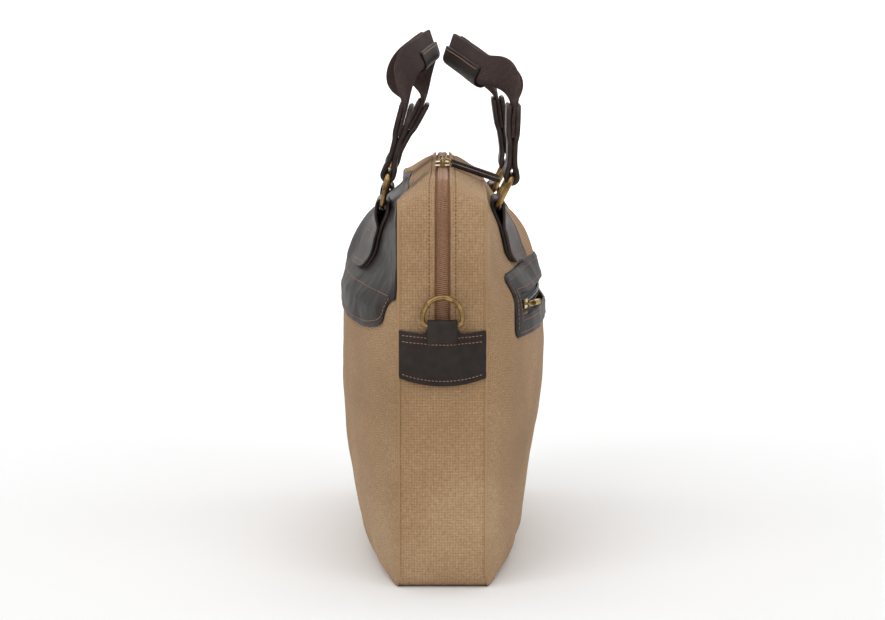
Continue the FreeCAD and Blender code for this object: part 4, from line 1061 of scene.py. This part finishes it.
# ------------------------------------------------------------ leather pulls
for nm, xc in (("right", 34.0), ("left", -14.0)):
    a = math.radians(-19.0)
    d = np.array((0, math.cos(a), math.sin(a))); up = np.array((0, -math.sin(a), math.cos(a)))
    nu, nv = 24, 8
    A = np.zeros((nu + 1, nv + 1, 3)); B = A.copy()
    for i in range(nu + 1):
        r = 7.6 + 41.6 * i / nu
        w = 5.0 * (1.0 if i < nu - 3 else (0.97, 0.9, 0.78, 0.6)[i - (nu - 3)])
        if i < 3:
            w = 3.2
        for j in range(nv + 1):
            q = 2 * j / nv - 1
            puff = 1.5 + 0.18 * math.cos(q * math.pi / 2) - 0.25 * math.exp(-((abs(q) - .72) / .08) ** 2)
            c = np.array((xc, 0, 316.4)) + d * r + np.array((q * w, 0, 0))
            A[i, j] = c + up * puff; B[i, j] = c - up * puff
    ob = two_skin("pull_strap_" + nm, A, B, LEATHER2, "pull_" + nm, 0.3)
    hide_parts("pull_leather_" + nm)
    th = Threads()
    for face in (1, -1):
        for sx in (-1, 1):
            th.row([np.array((xc + sx * 3.6, 0, 316.4)) + d * r + up * face * 1.4 for r in np.linspace(13, 45, 20)], up * face, 2.8, 0.30)
        th.row([np.array((xc + q, 0, 316.4)) + d * 45.2 + up * face * 1.4 for q in np.linspace(-3.4, 3.4, 6)], up * face, 2.2, 0.30)
    th.make("stitch_pull_" + nm, THREAD, "pull_" + nm)

# ------------------------------------------------------------ pocket zip coil
YC, RP = -476.0449, 557.0
for zs, nm in ((-1, "lower"), (1, "upper")):
    pts = []
    for k in range(int(284 / 1.4) * 6):
        w = 2 * math.pi * (k % 6) / 6
        xx = -142 + k * 1.4 / 6 + (0.7 if zs > 0 else 0)
        th_ = math.asin(xx / RP); hgt = -1.9 + 0.8 * math.sin(w); zz = 212 + zs * (1.45 + 1.7 * math.cos(w))
        pts.append(((RP + hgt) * math.sin(th_), YC + (RP + hgt) * math.cos(th_), zz))
    ob = tube("pocket_teeth_" + nm, pts, 0.38, BLACK, "bag", 5)
    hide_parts("pocket_coil_" + nm)

# ------------------------------------------------------------ stage
def studio():
    me = bpy.data.meshes.new("floor")
    n = 24; v, f = [], []
    for k in range(n + 1):
        # floor that curves up into a backdrop far behind the bag
        if k < 16:
            p = (2.5 - k * 0.42, 0.0)
        else:
            a = (k - 16) / 8 * math.pi / 2
            p = (-4.2 - 1.6 * math.sin(a), 1.6 * (1 - math.cos(a)))
        v += [(p[0], -5, p[1]), (p[0], 5, p[1])]
    v += [(-5.8, -5, 6), (-5.8, 5, 6)]
    for k in range(n + 1):
        f.append((2 * k, 2 * k + 1, 2 * k + 3, 2 * k + 2))
    me.from_pydata(v, [], f)
    for p in me.polygons:
        p.use_smooth = True
    ob = bpy.data.objects.new("floor", me); bpy.context.scene.collection.objects.link(ob)
    m = Nodes("floor_paper")
    m.b.inputs["Base Color"].default_value = (0.93, 0.93, 0.93, 1)
    m.b.inputs["Roughness"].default_value = 0.8
    me.materials.append(m.mat)


studio()


def area(name, loc, target, size, power, color=(1, 1, 1)):
    l = bpy.data.lights.new(name, "AREA"); l.shape = "RECTANGLE"; l.size = size[0]; l.size_y = size[1]
    l.energy = power; l.color = color
    o = bpy.data.objects.new(name, l); bpy.context.scene.collection.objects.link(o)
    o.location = loc
    o.rotation_euler = (Vector(target) - Vector(loc)).to_track_quat("-Z", "Y").to_euler()


area("key", (1.6, -1.2, 1.9), (0, 0, 0.2), (1.6, 1.4), 16)
area("fill", (1.8, 1.5, 1.3), (0, 0, 0.2), (1.6, 1.6), 11)
area("top", (0.0, 0.0, 2.6), (0, 0, 0), (2.6, 2.2), 26)
area("rim_l", (-0.7, -1.6, 1.1), (0, 0, 0.25), (1.0, 1.4), 3.5)
area("rim_r", (-0.7, 1.6, 1.1), (0, 0, 0.25), (1.0, 1.4), 3.5)
area("paper", (-2.6, 0, 3.4), (-5.6, 0, 1.2), (4.0, 1.5), 190)
wd = bpy.data.worlds.new("soft"); wd.use_nodes = True
wd.node_tree.nodes["Background"].inputs[0].default_value = (1, 1, 1, 1)
wd.node_tree.nodes["Background"].inputs[1].default_value = 0.42
bpy.context.scene.world = wd
bpy.context.scene.view_settings.view_transform = "Standard"

cam = bpy.data.cameras.new("camera"); cam.lens = 2400 / 885 * 36.0; cam.sensor_width = 36.0
cam.clip_end = 50
co = bpy.data.objects.new("camera", cam); bpy.context.scene.collection.objects.link(co)
co.location = (1.990, 0.0, 0.442)
pitch = math.radians(7.22)
co.rotation_euler = Vector((-math.cos(pitch), 0, -math.sin(pitch))).to_track_quat("-Z", "Y").to_euler()
bpy.context.scene.camera = co
